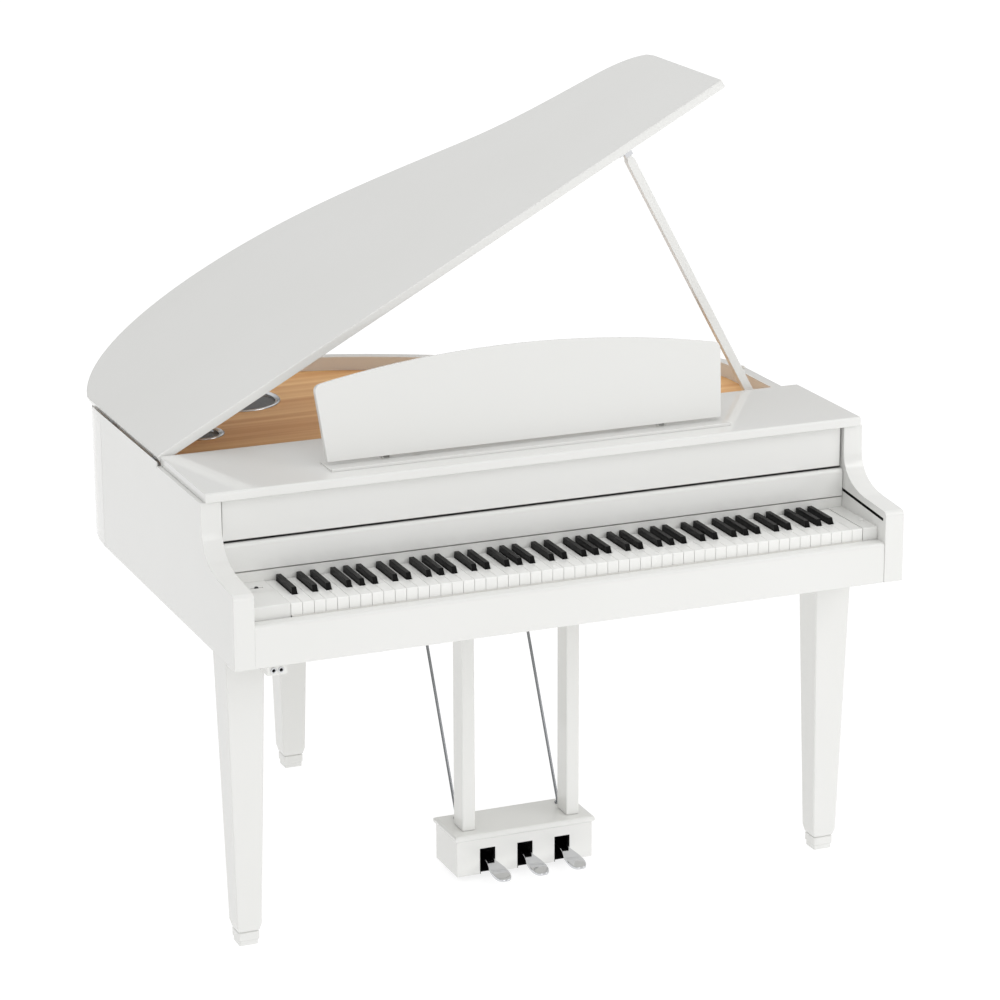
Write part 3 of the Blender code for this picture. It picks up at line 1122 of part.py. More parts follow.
bm = bmesh.new()
mould = ((BOX_TOP, 0.0050), (BOX_TOP - 0.0010, 0.0030), (BOX_TOP - 0.0025, 0.0010), (BOX_TOP - 0.0050, 0.0),
         (BOX_TOP - 0.0090, 0.0), (BOX_TOP - 0.0110, 0.0012), (BOX_TOP - 0.0130, 0.0035),
         (BOX_TOP - 0.0140, BOX_MOULD), (BOX_BOTTOM, BOX_MOULD))
loops = []
for z, inset in mould:
    x0, x1 = -BOX_HALF + inset, BOX_HALF - inset
    y0, y1 = BOX_FRONT_Y + inset, BOX_FRONT_Y + BOX_DEPTH - inset
    loops.append([(x0, y0, z), (x1, y0, z), (x1, y1, z), (x0, y1, z)])
loft(bm, loops)
lyre_box = piece("lyre_box", bm, (GLOSS_WHITE, 0.12))
inner_front = BOX_FRONT_Y + BOX_MOULD + BOX_WALL
inner_back = BOX_FRONT_Y + BOX_DEPTH - BOX_MOULD - BOX_WALL
inner_half = BOX_HALF - BOX_MOULD - BOX_WALL
bm = bmesh.new()
box(bm, -inner_half, inner_half, inner_front, inner_back, BOX_BOTTOM - 0.01, BOX_TOP - BOX_ROOF)
combine(lyre_box, tool("box_cavity", bm))
bm = bmesh.new()
for i in (-1, 0, 1):
    box(bm, i * PEDAL_PITCH - SLOT_HALF, i * PEDAL_PITCH + SLOT_HALF, BOX_FRONT_Y - 0.01, inner_front + 0.005,
        BOX_BOTTOM - 0.01, SLOT_TOP)
combine(lyre_box, tool("slot_cutters", bm))

BRACE_PLATE = 0.0025
BRACE_PLATE_WIDTH = 0.024
BRACE_FLANGE = 0.007
bm = bmesh.new()
for side in (-1, 1):
    foot = Vector((side * BRACE_X, BRACE_FOOT_Y, BOX_TOP + SEAM))
    head = Vector((side * BRACE_X, BRACE_HEAD_Y, BOTTOM_Z - SEAM - BRACE_PLATE / 2))
    run = (head - foot).normalized()
    rings = []
    for z, radius in ((foot.z, BRACE_FLANGE), (foot.z + 0.003, BRACE_FLANGE), (foot.z + 0.0035, BRACE_RADIUS),
                      (head.z, BRACE_RADIUS)):
        centre = foot + run * ((z - foot.z) / run.z)
        ring = arc((centre.x, centre.y), radius, 0, 360, 12)[:-1]
        rings.append([(x, y, z) for x, y in ring])
    loft(bm, rings)
brace = piece("lyre_brace", bm, (STEEL, 0.35, 0.9))
bm = bmesh.new()
plate_half = BRACE_PLATE_WIDTH / 2
box(bm, -BRACE_X - plate_half, BRACE_X + plate_half, BRACE_HEAD_Y - plate_half, BRACE_HEAD_Y + plate_half,
    BOTTOM_Z - SEAM - BRACE_PLATE, BOTTOM_Z - SEAM)
combine(brace, tool("brace_plate", bm), "UNION")

bm = bmesh.new()
rod(bm, (-inner_half + SEAM, PEDAL_AXIS_Y, PEDAL_AXIS_Z), (inner_half - SEAM, PEDAL_AXIS_Y, PEDAL_AXIS_Z),
    AXLE_RADIUS, 16)
piece("pedal_axle", bm, (STEEL, 0.35, 0.9))

reach = PEDAL_AXIS_Y - PEDAL_TIP_Y
slot_reach = PEDAL_AXIS_Y - BOX_FRONT_Y
pad = reach - slot_reach


def pedal_rows():
    """Stations along a pedal: (distance from the axle, half width, drop, half thickness)."""
    t = PEDAL_THICK / 2
    rows = [(-0.0110, PEDAL_NECK_HALF, 0, t), (0.0110, PEDAL_NECK_HALF, 0, t)]
    for share, wide in ((0.0, 0.0), (0.22, 0.25), (0.42, 0.70), (0.60, 0.95), (0.74, 1.0), (0.86, 0.90),
                        (0.94, 0.68), (0.985, 0.40), (1.0, 0.15)):
        along = slot_reach + pad * share
        half_width = PEDAL_NECK_HALF + (PEDAL_PAD_HALF - PEDAL_NECK_HALF) * wide
        if share > 0.9:
            half_width = PEDAL_PAD_HALF * wide
        drop = PEDAL_TIP_DROP * (along / reach) ** 1.4
        rows.append((along, half_width, drop, t * (1 - 0.45 * share**6)))
    return rows


for i, name in ((-1, "pedal_left"), (0, "pedal_middle"), (1, "pedal_right")):
    bm = bmesh.new()
    loops = []
    for along, wide, drop, thick in pedal_rows():
        c = min(0.0022, wide * 0.5)
        loops.append([(wide, -along, -drop - thick + c), (wide, -along, -drop + thick - c),
                      (wide - c, -along, -drop + thick), (-wide + c, -along, -drop + thick),
                      (-wide, -along, -drop + thick - c), (-wide, -along, -drop - thick + c),
                      (-wide + c, -along, -drop - thick), (wide - c, -along, -drop - thick)])
    loft(bm, loops)
    place = (i * PEDAL_PITCH, PEDAL_AXIS_Y, PEDAL_AXIS_Z)
    pedal = piece(name, bm, (CHROME, 0.1, 1.0), location=place)
    bm = bmesh.new()
    rod(bm, (-PEDAL_NECK_HALF, 0, 0), (PEDAL_NECK_HALF, 0, 0), PEDAL_EYE_RADIUS, 20)
    combine(pedal, tool(name + "_eye", bm, location=place), "UNION")
    bm = bmesh.new()
    rod(bm, (-0.03, 0, 0), (0.03, 0, 0), AXLE_RADIUS + 0.0003, 16)
    combine(pedal, tool(name + "_bore", bm, location=place))
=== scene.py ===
"""A compact digital grand piano in gloss white: lacquered case, keyboard, lid, music desk and pedal lyre."""

import math

import bpy
from mathutils import Matrix, Vector


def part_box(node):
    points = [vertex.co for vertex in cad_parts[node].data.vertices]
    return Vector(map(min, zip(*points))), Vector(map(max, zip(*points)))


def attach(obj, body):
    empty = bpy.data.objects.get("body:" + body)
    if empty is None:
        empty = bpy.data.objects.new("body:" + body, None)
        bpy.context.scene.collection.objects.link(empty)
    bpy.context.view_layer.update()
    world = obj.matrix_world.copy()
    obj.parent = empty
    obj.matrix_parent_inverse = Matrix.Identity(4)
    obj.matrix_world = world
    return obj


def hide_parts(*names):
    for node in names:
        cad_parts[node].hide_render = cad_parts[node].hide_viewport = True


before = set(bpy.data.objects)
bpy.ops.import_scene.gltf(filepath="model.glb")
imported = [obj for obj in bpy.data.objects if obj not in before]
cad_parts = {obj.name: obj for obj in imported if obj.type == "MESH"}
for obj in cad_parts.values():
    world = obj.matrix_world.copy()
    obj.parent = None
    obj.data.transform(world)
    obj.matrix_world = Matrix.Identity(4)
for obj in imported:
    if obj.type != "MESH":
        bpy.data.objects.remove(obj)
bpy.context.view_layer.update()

# Side boards and arms
# MDF boards, each cut to the S-curve of its arm in one piece with the long side, then sprayed with white
# polyester and buffed to a piano gloss. They are glued and dowelled to the keybed and the bent rim.


def srgb(code):
    """A hex colour as the linear values that a shader takes."""
    parts = [int(code[i:i + 2], 16) / 255 for i in (1, 3, 5)]
    return tuple(c / 12.92 if c <= 0.04045 else ((c + 0.055) / 1.055) ** 2.4 for c in parts) + (1.0,)


def add_node(mat, kind, settings, inputs):
    """Adds one node to a material: its menu settings, then the values or links of its inputs."""
    made = mat.node_tree.nodes.new("ShaderNode" + kind)
    for name, value in settings.items():
        setattr(made, name, value)
    for key, value in inputs.items():
        if isinstance(value, bpy.types.NodeSocket):
            mat.node_tree.links.new(value, made.inputs[key])
        else:
            made.inputs[key].default_value = value
    return made


def new_finish(name, values):
    """A material with one Principled shader, whose fixed values are set on its own sockets."""
    mat = bpy.data.materials.new(name)
    mat.use_nodes = True
    shader = mat.node_tree.nodes["Principled BSDF"]
    for key, value in values.items():
        shader.inputs[key].default_value = value
    return mat, shader


# A Mix node's sockets for colours, which share their names with its sockets for numbers
MIX_FROM = 6
MIX_TO = 7
MIXED = 2


def mottled_finish(name, values, light, dark, patch, grain, relief, rough=None):
    """A finish that drifts between two tones, in patches of one size, over a raised grain of another size."""
    mat, shader = new_finish(name, values)
    place = add_node(mat, "TexCoord", {}, {}).outputs["Object"]
    drift = add_node(mat, "TexNoise", {}, {"Vector": place, "Scale": 1 / patch, "Detail": 3.0})
    tone = add_node(mat, "Mix", {"data_type": "RGBA"}, {
        "Factor": drift.outputs["Fac"], MIX_FROM: srgb(dark), MIX_TO: srgb(light)})
    mat.node_tree.links.new(tone.outputs[MIXED], shader.inputs["Base Color"])
    fine = add_node(mat, "TexNoise", {}, {"Vector": place, "Scale": 1 / grain, "Detail": 2.0})
    bump = add_node(mat, "Bump", {}, {"Height": fine.outputs["Fac"], "Strength": 0.4, "Distance": relief})
    mat.node_tree.links.new(bump.outputs["Normal"], shader.inputs["Normal"])
    if rough:
        spread = add_node(mat, "MapRange", {}, {"Value": drift.outputs["Fac"], "To Min": rough[0],
                                                "To Max": rough[1]})
        mat.node_tree.links.new(spread.outputs["Result"], shader.inputs["Roughness"])
    return mat


# Buffed polyester: a clear, deep gloss with a trace of orange peel a few millimetres across
lacquer = mottled_finish("buffed_white_polyester", {"IOR": 1.5}, "#EBEBE9", "#E7E7E4", 0.30, 0.006, 0.00002,
                         (0.05, 0.09))


def select_only(piece):
    """Makes one piece the only selected and active one."""
    bpy.ops.object.select_all(action="DESELECT")
    piece.select_set(True)
    bpy.context.view_layer.objects.active = piece


def apply_all(piece):
    """Applies a piece's modifiers in their order."""
    select_only(piece)
    for mod in list(piece.modifiers):
        bpy.ops.object.modifier_apply(modifier=mod.name)


def shade_round(piece, angle):
    """Shades a piece smooth, apart from its edges that are sharper than an angle in degrees."""
    select_only(piece)
    bpy.ops.object.shade_smooth_by_angle(angle=math.radians(angle))


def finish_edges(piece, rounding, segments, angle):
    """Rounds a piece's sharp edges and shades it smooth, with its flat faces kept flat."""
    if rounding:
        mod = piece.modifiers.new("eased_edges", "BEVEL")
        mod.width = rounding
        mod.segments = segments
        mod.limit_method = "ANGLE"
        mod.angle_limit = math.radians(angle)
        apply_all(piece)
    shade_round(piece, angle)
    mod = piece.modifiers.new("flat_faces", "WEIGHTED_NORMAL")
    mod.keep_sharp = True
    apply_all(piece)


def rides(piece, body, slot, *nodes):
    """Names the body that a piece moves with and the CAD parts that it stands for, which it hides; its
    material slot is not used.
    """
    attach(piece, body)
    if nodes:
        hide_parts(*nodes)


MERGE_GAP = 0.00002
FLAT_ENOUGH = math.radians(0.6)


def finished_copy(node, body, mat, slot, rounding=0.0, segments=3, angle=32):
    """A piece with its CAD part's shape: merged, its flat faces made whole, and its edges eased."""
    piece = bpy.data.objects.new(node + "_finished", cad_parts[node].data.copy())
    bpy.context.scene.collection.objects.link(piece)
    select_only(piece)
    bpy.ops.mesh.customdata_custom_splitnormals_clear()
    bpy.ops.object.mode_set(mode="EDIT")
    bpy.ops.mesh.select_all(action="SELECT")
    bpy.ops.mesh.remove_doubles(threshold=MERGE_GAP)
    bpy.ops.mesh.dissolve_limited(angle_limit=FLAT_ENOUGH)
    bpy.ops.object.mode_set(mode="OBJECT")
    piece.data.materials.clear()
    piece.data.materials.append(mat)
    finish_edges(piece, rounding, segments, angle)
    rides(piece, body, slot, node)


for node in ("left_side_board", "right_side_board"):
    finished_copy(node, "case", lacquer, "white_lacquer")


def pick_faces(piece, wanted):
    """Selects the faces that pass a test on their centre and normal, and leaves the piece in edit mode."""
    select_only(piece)
    bpy.ops.object.mode_set(mode="EDIT")
    bpy.ops.mesh.select_mode(type="FACE")
    bpy.ops.mesh.select_all(action="DESELECT")
    bpy.ops.object.mode_set(mode="OBJECT")
    for face in piece.data.polygons:
        face.select = wanted(face.center, face.normal)
    bpy.ops.object.mode_set(mode="EDIT")


def block(name, low, high, mat):
    """A block between two corners, as a start for a shape."""
    size = Vector(high) - Vector(low)
    bpy.ops.object.select_all(action="DESELECT")
    bpy.ops.mesh.primitive_cube_add(size=1, location=(Vector(high) + Vector(low)) / 2, scale=size)
    piece = bpy.context.object
    piece.name = name
    bpy.ops.object.transform_apply(location=True, scale=True)
    piece.data.materials.append(mat)
    return piece


def hollowed(piece, open_sides, thickness):
    """Makes a block into an open tray: the faces that pass the test go, and the rest get a thickness."""
    pick_faces(piece, open_sides)
    bpy.ops.mesh.delete(type="FACE")
    bpy.ops.object.mode_set(mode="OBJECT")
    mod = piece.modifiers.new("sheet", "SOLIDIFY")
    mod.thickness = thickness
    apply_all(piece)


# Black felt: a short nap that swallows the light. It lines the two grooves that the key cover slides in.
felt = mottled_finish("black_woven_felt", {"Specular IOR Level": 0.1}, "#19191A", "#101011", 0.006, 0.0006,
                      0.0003, (0.90, 0.98))
GROOVE_SLOPE = math.radians(5.3)
GROOVE_MIDDLE = Vector((0.67422, -0.4130, 0.78426))
LINING_HALF = Vector((0.00145, 0.1952, 0.0032))
LINING_THICK = 0.0003
for side, name in ((-1, "left"), (1, "right")):
    lining = block(f"{name}_groove_felt", -LINING_HALF, LINING_HALF, felt)
    hollowed(lining, lambda place, normal: normal.x * side < -0.9, LINING_THICK)
    finish_edges(lining, 0.0, 1, 30)
    lining.rotation_euler = (GROOVE_SLOPE, 0, 0)
    lining.location = (side * GROOVE_MIDDLE.x, GROOVE_MIDDLE.y, GROOVE_MIDDLE.z)
    bpy.ops.object.transform_apply(location=True, rotation=True)
    rides(lining, "case", "black_plastic")

# Bent rim
# Thin boards, glued together round a form into the tail and the bent side, then lacquered as the side boards
# are. The rim is butted against their back ends and its top edge is rounded over.
finished_copy("bent_rim", "case", lacquer, "white_lacquer", 0.0015)

# Boards inside and under the case
# The bottom board is hardboard with a white rolled face, pinned into the case from below. The keybed is
# chipboard with a white melamine face, and the bulkhead behind the keys is a lacquered board.


def paint(node, mat):
    """Gives a CAD part its finish."""
    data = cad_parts[node].data
    data.materials.clear()
    data.materials.append(mat)


# Rolled hardboard: matt and faintly fibrous, and it shows as a pale reflection in the pedals
hardboard = mottled_finish("white_faced_hardboard", {"Roughness": 0.7}, "#DAD9D5", "#CDCCC7", 0.05, 0.0015,
                           0.00015)
paint("bottom_board", hardboard)

# Melamine: an even off-white with a dull, slightly pebbled face
melamine = mottled_finish("white_melamine_board", {"Roughness": 0.5}, "#DCDCD8", "#D3D3CF", 0.04, 0.0012,
                          0.00003)
paint("keybed", melamine)
finished_copy("inner_bulkhead", "case", lacquer, "white_lacquer")

# Front boards
# The key slip before the keys, the upright name board behind them and the top board over it. All three are
# MDF, lacquered on the bench and then screwed to the arms from inside.
for node, rounding in (("key_slip", 0), ("name_board", 0.0008), ("top_board", 0.001)):
    finished_copy(node, "case", lacquer, "white_lacquer", rounding)

# Pale wool felt: soft and shineless. A strip of it, glued behind the key slip, closes the gap to the keys.
pale_felt = mottled_finish("pale_wool_felt", {"Specular IOR Level": 0.1}, "#E6E5E1", "#DAD9D4", 0.006, 0.0006,
                           0.0003, (0.90, 0.98))
SLIP_FELT_LOW = (-0.5870, -0.5872, 0.7050)
SLIP_FELT_HIGH = (0.6380, -0.5842, 0.7212)
strip = block("key_slip_felt", SLIP_FELT_LOW, SLIP_FELT_HIGH, pale_felt)
finish_edges(strip, 0.0006, 2, 30)
rides(strip, "case", "white_plastic")

# Headphone box
# A moulded white ABS box, screwed under the keybed at the player's left. A chromed nut holds each of its two
# sockets, and a black ABS well shows inside it.

# Gloss ABS: a little softer in its reflections than the lacquer
abs_white = mottled_finish("gloss_white_abs", {}, "#ECECE9", "#E8E8E5", 0.05, 0.0015, 0.00001, (0.22, 0.28))
finished_copy("headphone_box", "case", abs_white, "white_plastic", 0.0004)

# Spark-eroded ABS: a fine, even grain that breaks up the highlight
black_abs = mottled_finish("textured_black_abs", {"Roughness": 0.45}, "#232426", "#1B1C1E", 0.02, 0.0006,
                           0.00004)

# Chrome plate: mirror-bright, with the faint haze of polishing
chrome = mottled_finish("bright_chrome_plate", {"Metallic": 1.0}, "#D9DADC", "#CFD0D3", 0.02, 0.004, 0.00001,
                        (0.05, 0.10))


def turned(name, centre, profile, sides, mat, ring=False, turn=(0, 0, 0)):
    """A piece turned on a lathe: a disc drawn out along a profile of (radius, height), solid or as a ring."""
    (radius, height), *rings = profile
    bpy.ops.object.select_all(action="DESELECT")
    bpy.ops.mesh.primitive_circle_add(vertices=sides, radius=radius, fill_type="NGON",
                                      location=(0, 0, height))
    piece = bpy.context.object
    piece.name = name
    bpy.ops.object.transform_apply(location=True)
    bpy.ops.object.mode_set(mode="EDIT")
    bpy.ops.mesh.select_mode(type="FACE")
    bpy.ops.mesh.select_all(action="SELECT")
    for width, level in rings:
        bpy.ops.mesh.extrude_region_move(TRANSFORM_OT_translate={"value": (0, 0, level - height)})
        bpy.ops.transform.resize(value=(width / radius, width / radius, 1), center_override=(0, 0, level))
        radius, height = width, level
    if ring:
        bpy.ops.mesh.select_all(action="DESELECT")
        bpy.ops.mesh.select_face_by_sides(number=4, type="GREATER")
        bpy.ops.mesh.delete(type="FACE")
        bpy.ops.mesh.select_mode(type="EDGE")
        bpy.ops.mesh.select_non_manifold()
        bpy.ops.mesh.bridge_edge_loops()
    bpy.ops.mesh.select_all(action="SELECT")
    bpy.ops.mesh.normals_make_consistent(inside=False)
    bpy.ops.object.mode_set(mode="OBJECT")
    piece.rotation_euler = turn
    piece.location = centre
    bpy.ops.object.transform_apply(location=True, rotation=True)
    piece.data.materials.append(mat)
    return piece


def middle_of(node):
    """The middle of a CAD part's box."""
    low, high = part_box(node)
    return (Vector(low) + Vector(high)) / 2


def set_copy(name, model, place):
    """A copy of a piece, with a mesh of its own, stood at a place that is given as a matrix."""
    piece = bpy.data.objects.new(name, model.data.copy())
    bpy.context.scene.collection.objects.link(piece)
    piece.data.transform(place)
    return piece


SOCKET_PITCH = 0.015
NUT_SINK = 0.002
NUT_PROFILE = (
    (0.0032, -0.0030), (0.0058, -0.0030), (0.0060, -0.0022), (0.0060, 0.0016), (0.0054, 0.0023),
    (0.0036, 0.0024), (0.0032, 0.0018))
WELL_PROFILE = (
    (0.0024, -0.0140), (0.0031, -0.0136), (0.0031, -0.0020), (0.0027, -0.0020), (0.0026, -0.0130),
    (0.0010, -0.0132))
FACING_FRONT = (math.pi / 2, 0, 0)
spot = middle_of("headphone_box")
spot.x -= SOCKET_PITCH / 2
spot.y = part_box("headphone_box")[0][1] + NUT_SINK
nut = turned("left_socket_nut", spot, NUT_PROFILE, 24, chrome, True, FACING_FRONT)
well = turned("left_socket_well", spot, WELL_PROFILE, 20, black_abs, False, FACING_FRONT)
for piece, kind, slot in ((nut, "nut", "chrome"), (well, "well", "black_plastic")):
    shade_round(piece, 30)
    rides(piece, "case", slot)
    twin = set_copy(f"right_socket_{kind}", piece, Matrix.Translation((SOCKET_PITCH, 0, 0)))
    rides(twin, "case", slot)

# Soundboard panel
# A thin board veneered with straight-grained spruce, stained a warm orange brown and sealed with satin
# varnish. It drops into the rim on battens, with its four speaker holes already cut.

# Spruce veneer: long streaks of growth rings across the case, and fine pores that soften the shine. The real
# rings are 1 to 3 mm wide, too fine to show in the render, so they are drawn 13 mm wide.
spruce, shader = new_finish("satin_spruce_veneer", {"Specular IOR Level": 0.18, "IOR": 1.5})
GROWTH_RING = 0.013
STREAKS_PER_METRE = (1.2, 1 / GROWTH_RING / 2, 8.0)
PORES_PER_METRE = (25.0, 900.0, 900.0)
place = add_node(spruce, "TexCoord", {}, {}).outputs["Object"]
along = add_node(spruce, "Mapping", {}, {"Vector": place, "Scale": STREAKS_PER_METRE})
bands = add_node(spruce, "TexNoise", {}, {"Vector": along.outputs[0], "Scale": 1.0, "Detail": 4.0,
                                          "Roughness": 0.5, "Distortion": 0.25})
ramp = add_node(spruce, "ValToRGB", {}, {"Fac": bands.outputs["Fac"]})
late_wood, early_wood = ramp.color_ramp.elements
late_wood.color = srgb("#D9A169")
late_wood.position = 0.32
early_wood.color = srgb("#F5CA91")
early_wood.position = 0.68
spruce.node_tree.links.new(ramp.outputs["Color"], shader.inputs["Base Color"])
pores = add_node(spruce, "Mapping", {}, {"Vector": place, "Scale": PORES_PER_METRE})
pore = add_node(spruce, "TexNoise", {}, {"Vector": pores.outputs[0], "Scale": 1.0, "Detail": 2.0})
relief = add_node(spruce, "Bump", {}, {"Height": pore.outputs["Fac"], "Strength": 0.25, "Distance": 0.0001})
spruce.node_tree.links.new(relief.outputs["Normal"], shader.inputs["Normal"])
sheen = add_node(spruce, "MapRange", {}, {"Value": bands.outputs["Fac"], "To Min": 0.38, "To Max": 0.5})
spruce.node_tree.links.new(sheen.outputs["Result"], shader.inputs["Roughness"])
paint("soundboard", spruce)

# Speakers
# Each driver hangs in its hole by a turned, bright aluminium ring. A net of steel wire is clipped into the
# ring, over a black paper cone; the pressed basket and the magnet hang under the panel.

# Turned aluminium: bright, with a soft highlight that runs round the ring
ring_metal = mottled_finish("turned_bright_aluminium", {"Metallic": 1.0}, "#D4D6D8", "#C6C8CB", 0.02, 0.0005,
                            0.00001, (0.16, 0.24))
# Enamelled steel: near black, with a thin wet-looking coat. On the pedal box's tray the same black is painted
# shade.
basket_steel = mottled_finish("black_enamel_and_painted_shade", {"Coat Weight": 0.3}, "#1E1F21", "#151618", 0.02,
                              0.001, 0.00003, (0.35, 0.45))
# Pressed paper: dull and a little fibrous
cone_paper = mottled_finish("black_pressed_paper", {"Specular IOR Level": 0.2}, "#26272A", "#1B1C1F", 0.012,
                            0.0008, 0.0002, (0.75, 0.90))
# Enamelled wire: mid grey, so that the net reads as a grey haze over the black cone
wire = mottled_finish("grey_enamelled_wire", {"Specular IOR Level": 0.6}, "#7C8085", "#6C7076", 0.03, 0.0010,
                      0.00002, (0.35, 0.45))
# The real net is finer, and is drawn coarse enough to show
WIRE_PITCH = 0.0034
WIRE_WIDTH = 0.0013
WIRE_THICK = 0.0008
NET_CROWN = 0.0015
NET_DEPTH = 0.0050
RING_WIDTH = 0.0115
RING_RISE = 0.0032
CONE_SHARE = 0.30


def wire_net(name, centre, radius):
    """A round net: a grid with each square inset and cut out, crowned a little and given its thickness."""
    cells = math.ceil(2 * radius / WIRE_PITCH)
    bpy.ops.object.select_all(action="DESELECT")
    bpy.ops.mesh.primitive_grid_add(x_subdivisions=cells, y_subdivisions=cells, size=cells * WIRE_PITCH,
                                    rotation=(0, 0, math.radians(45)))
    net = bpy.context.object
    net.name = name
    bpy.ops.object.transform_apply(rotation=True)
    pick_faces(net, lambda place, normal: place.length > radius)
    bpy.ops.mesh.delete(type="FACE")
    bpy.ops.mesh.select_all(action="SELECT")
    bpy.ops.mesh.inset(thickness=WIRE_WIDTH / 2, use_individual=True, use_even_offset=True)
    bpy.ops.mesh.delete(type="FACE")
    bpy.ops.object.mode_set(mode="OBJECT")
    for vertex in net.data.vertices:
        vertex.co.z = NET_CROWN * (1 - (vertex.co.length / radius) ** 2)
    mod = net.modifiers.new("wire_thickness", "SOLIDIFY")
    mod.thickness = WIRE_THICK
    apply_all(net)
    net.location = centre
    bpy.ops.object.transform_apply(location=True)
    net.data.materials.append(wire)
    return net


panel_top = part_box("soundboard")[1][2]
for size in ("large", "small"):
    node, twin_node = f"{size}_speaker_left", f"{size}_speaker_right"
    across = Matrix.Translation(middle_of(twin_node) - middle_of(node))
    low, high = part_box(node)
    middle = middle_of(node)
    middle.z = panel_top
    outer = (high[0] - low[0]) / 2
    mouth = outer - RING_WIDTH
    depth = panel_top - low[2]
    ring = turned(node + "_ring", middle, [
        (mouth - 0.001, -NET_DEPTH - 0.002), (mouth + 0.0004, -NET_DEPTH - 0.002), (mouth + 0.0006, 0.0004),
        (outer - 0.0006, 0.0004), (outer, 0.0008), (outer - 0.0004, RING_RISE * 0.55),
        (outer - 0.0030, RING_RISE), (outer - 0.0056, RING_RISE * 0.92), (mouth + 0.0022, RING_RISE * 0.45),
        (mouth, -0.0002), (mouth - 0.0006, -NET_DEPTH - 0.0010)], 96, ring_metal, True)
    basket = turned(node + "_basket", middle, [
        (outer * 0.40, -depth), (outer * 0.46, -depth + 0.002), (outer * 0.46, -depth * 0.74),
        (outer * 0.52, -depth * 0.72), (mouth + 0.0003, -0.0120), (mouth + 0.0003, -NET_DEPTH - 0.0024),
        (mouth - 0.0020, -NET_DEPTH - 0.0024), (mouth - 0.0020, -0.0115), (outer * 0.50, -depth * 0.69),
        (outer * 0.1, -depth * 0.70)], 64, basket_steel)
    cone = turned(node + "_cone", middle, [
        (mouth * 0.1, -depth * 0.46), (mouth * CONE_SHARE, -depth * 0.44), (mouth - 0.0100, -0.0110),
        (mouth - 0.0024, -0.0108), (mouth - 0.0024, -0.0096), (mouth - 0.0060, -0.0075),
        (mouth - 0.0100, -0.0096), (mouth * CONE_SHARE, -depth * 0.42),
        (mouth * CONE_SHARE * 0.9, -depth * 0.38), (mouth * CONE_SHARE * 0.5, -depth * 0.33),
        (mouth * CONE_SHARE * 0.1, -depth * 0.32)], 64, cone_paper)
    net = wire_net(node + "_net", middle + Vector((0, 0, -NET_DEPTH)), mouth - 0.0006)
    for piece, angle in ((ring, 20), (basket, 30), (cone, 30)):
        shade_round(piece, angle)
    for piece, kind in ((ring, "ring"), (basket, "basket"), (cone, "cone"), (net, "net")):
        twin = set_copy(f"{twin_node}_{kind}", piece, across)
        if kind == "ring":
            rides(piece, "case", "speaker", node)
            rides(twin, "case", "speaker", twin_node)
        else:
            rides(piece, "case", "speaker")
            rides(twin, "case", "speaker")

# Electronics
# The main board and the key sensors' board are green glass epoxy, and the power supply sits in a finned
# housing of die-cast aluminium. All three are screwed down inside the case.

# Glass epoxy: a deep green under a smooth solder mask
epoxy = mottled_finish("glass_epoxy_board", {"Roughness": 0.35}, "#1F5A33", "#174A29", 0.01, 0.001, 0.00003)
for node in ("main_board", "sensor_board"):
    paint(node, epoxy)

# Die-cast aluminium: a dull grey metal with a sandy skin
cast = mottled_finish("cast_aluminium", {"Metallic": 1.0, "Roughness": 0.45}, "#B9BBBE", "#A7A9AC", 0.02,
                      0.001, 0.00008)
paint("power_supply", cast)

# Key frame
# Folded sheet steel with the keys' pivot rod across it, zinc-plated after folding and screwed to the keybed.

# Zinc plate: a cool grey metal, a little cloudy
zinc = mottled_finish("zinc_plated_steel", {"Metallic": 1.0, "Roughness": 0.35}, "#9C9EA1", "#85878A", 0.01,
                      0.0012, 0.00002)
paint("key_frame", zinc)

# Keys
# The white keys have moulded acrylic tops with eased edges, and the black ones are moulded phenolic, tapered
# towards their tops. Both swing on the frame's pivot rod.

# Acrylic: a clean white with a close gloss
ivory = mottled_finish("white_acrylic_keytop", {"Coat Weight": 0.2, "Coat Roughness": 0.08}, "#F6F6F4",
                       "#F1F1EE", 0.08, 0.0010, 0.00001, (0.22, 0.30))
# Phenolic: a deep black with the low, even sheen of ebony
ebony = mottled_finish("satin_black_phenolic", {"Specular IOR Level": 0.10}, "#0D0C0C", "#080808", 0.03,
                       0.0010, 0.00003, (0.28, 0.38))
OCTAVES = 7
for octave in range(1, OCTAVES + 1):
    finished_copy(f"white_keys_octave_{octave}", f"white_keys_{octave}", ivory, "white_key", 0.0003, 2)
    finished_copy(f"black_keys_octave_{octave}", f"black_keys_{octave}", ebony, "black_key", 0.0009, 2)

# Cheek blocks and the strip behind the keys
# Lacquered blocks close both ends of the keyboard, and a moulded ABS strip covers the keys' backs. The left
# block carries the volume slider with its black ABS knob, and the right one the power button.
for node in ("left_cheek_block", "right_cheek_block"):
    finished_copy(node, "case", lacquer, "white_lacquer", 0.0006)
finished_copy("key_back_rail", "case", abs_white, "white_plastic", 0.0008)
finished_copy("volume_slider", "volume_slider", black_abs, "black_plastic", 0.0004)
finished_copy("power_button", "power_button", abs_white, "white_plastic")

# Key cover
# A thick lacquered lip, glued to the front of a thin lacquered panel. The panel's ends run in the felted
# grooves of the arms.
finished_copy("key_cover", "key_cover", lacquer, "white_lacquer")

# Music desk
# A lacquered panel with an arched top, hinged on a low base that is screwed to the top board. A chromed wire
# stay folds out behind it and stands on the base.
finished_copy("desk_panel", "music_desk", lacquer, "white_lacquer")
finished_copy("desk_base", "case", lacquer, "white_lacquer")
finished_copy("desk_stay", "desk_stay", chrome, "steel")

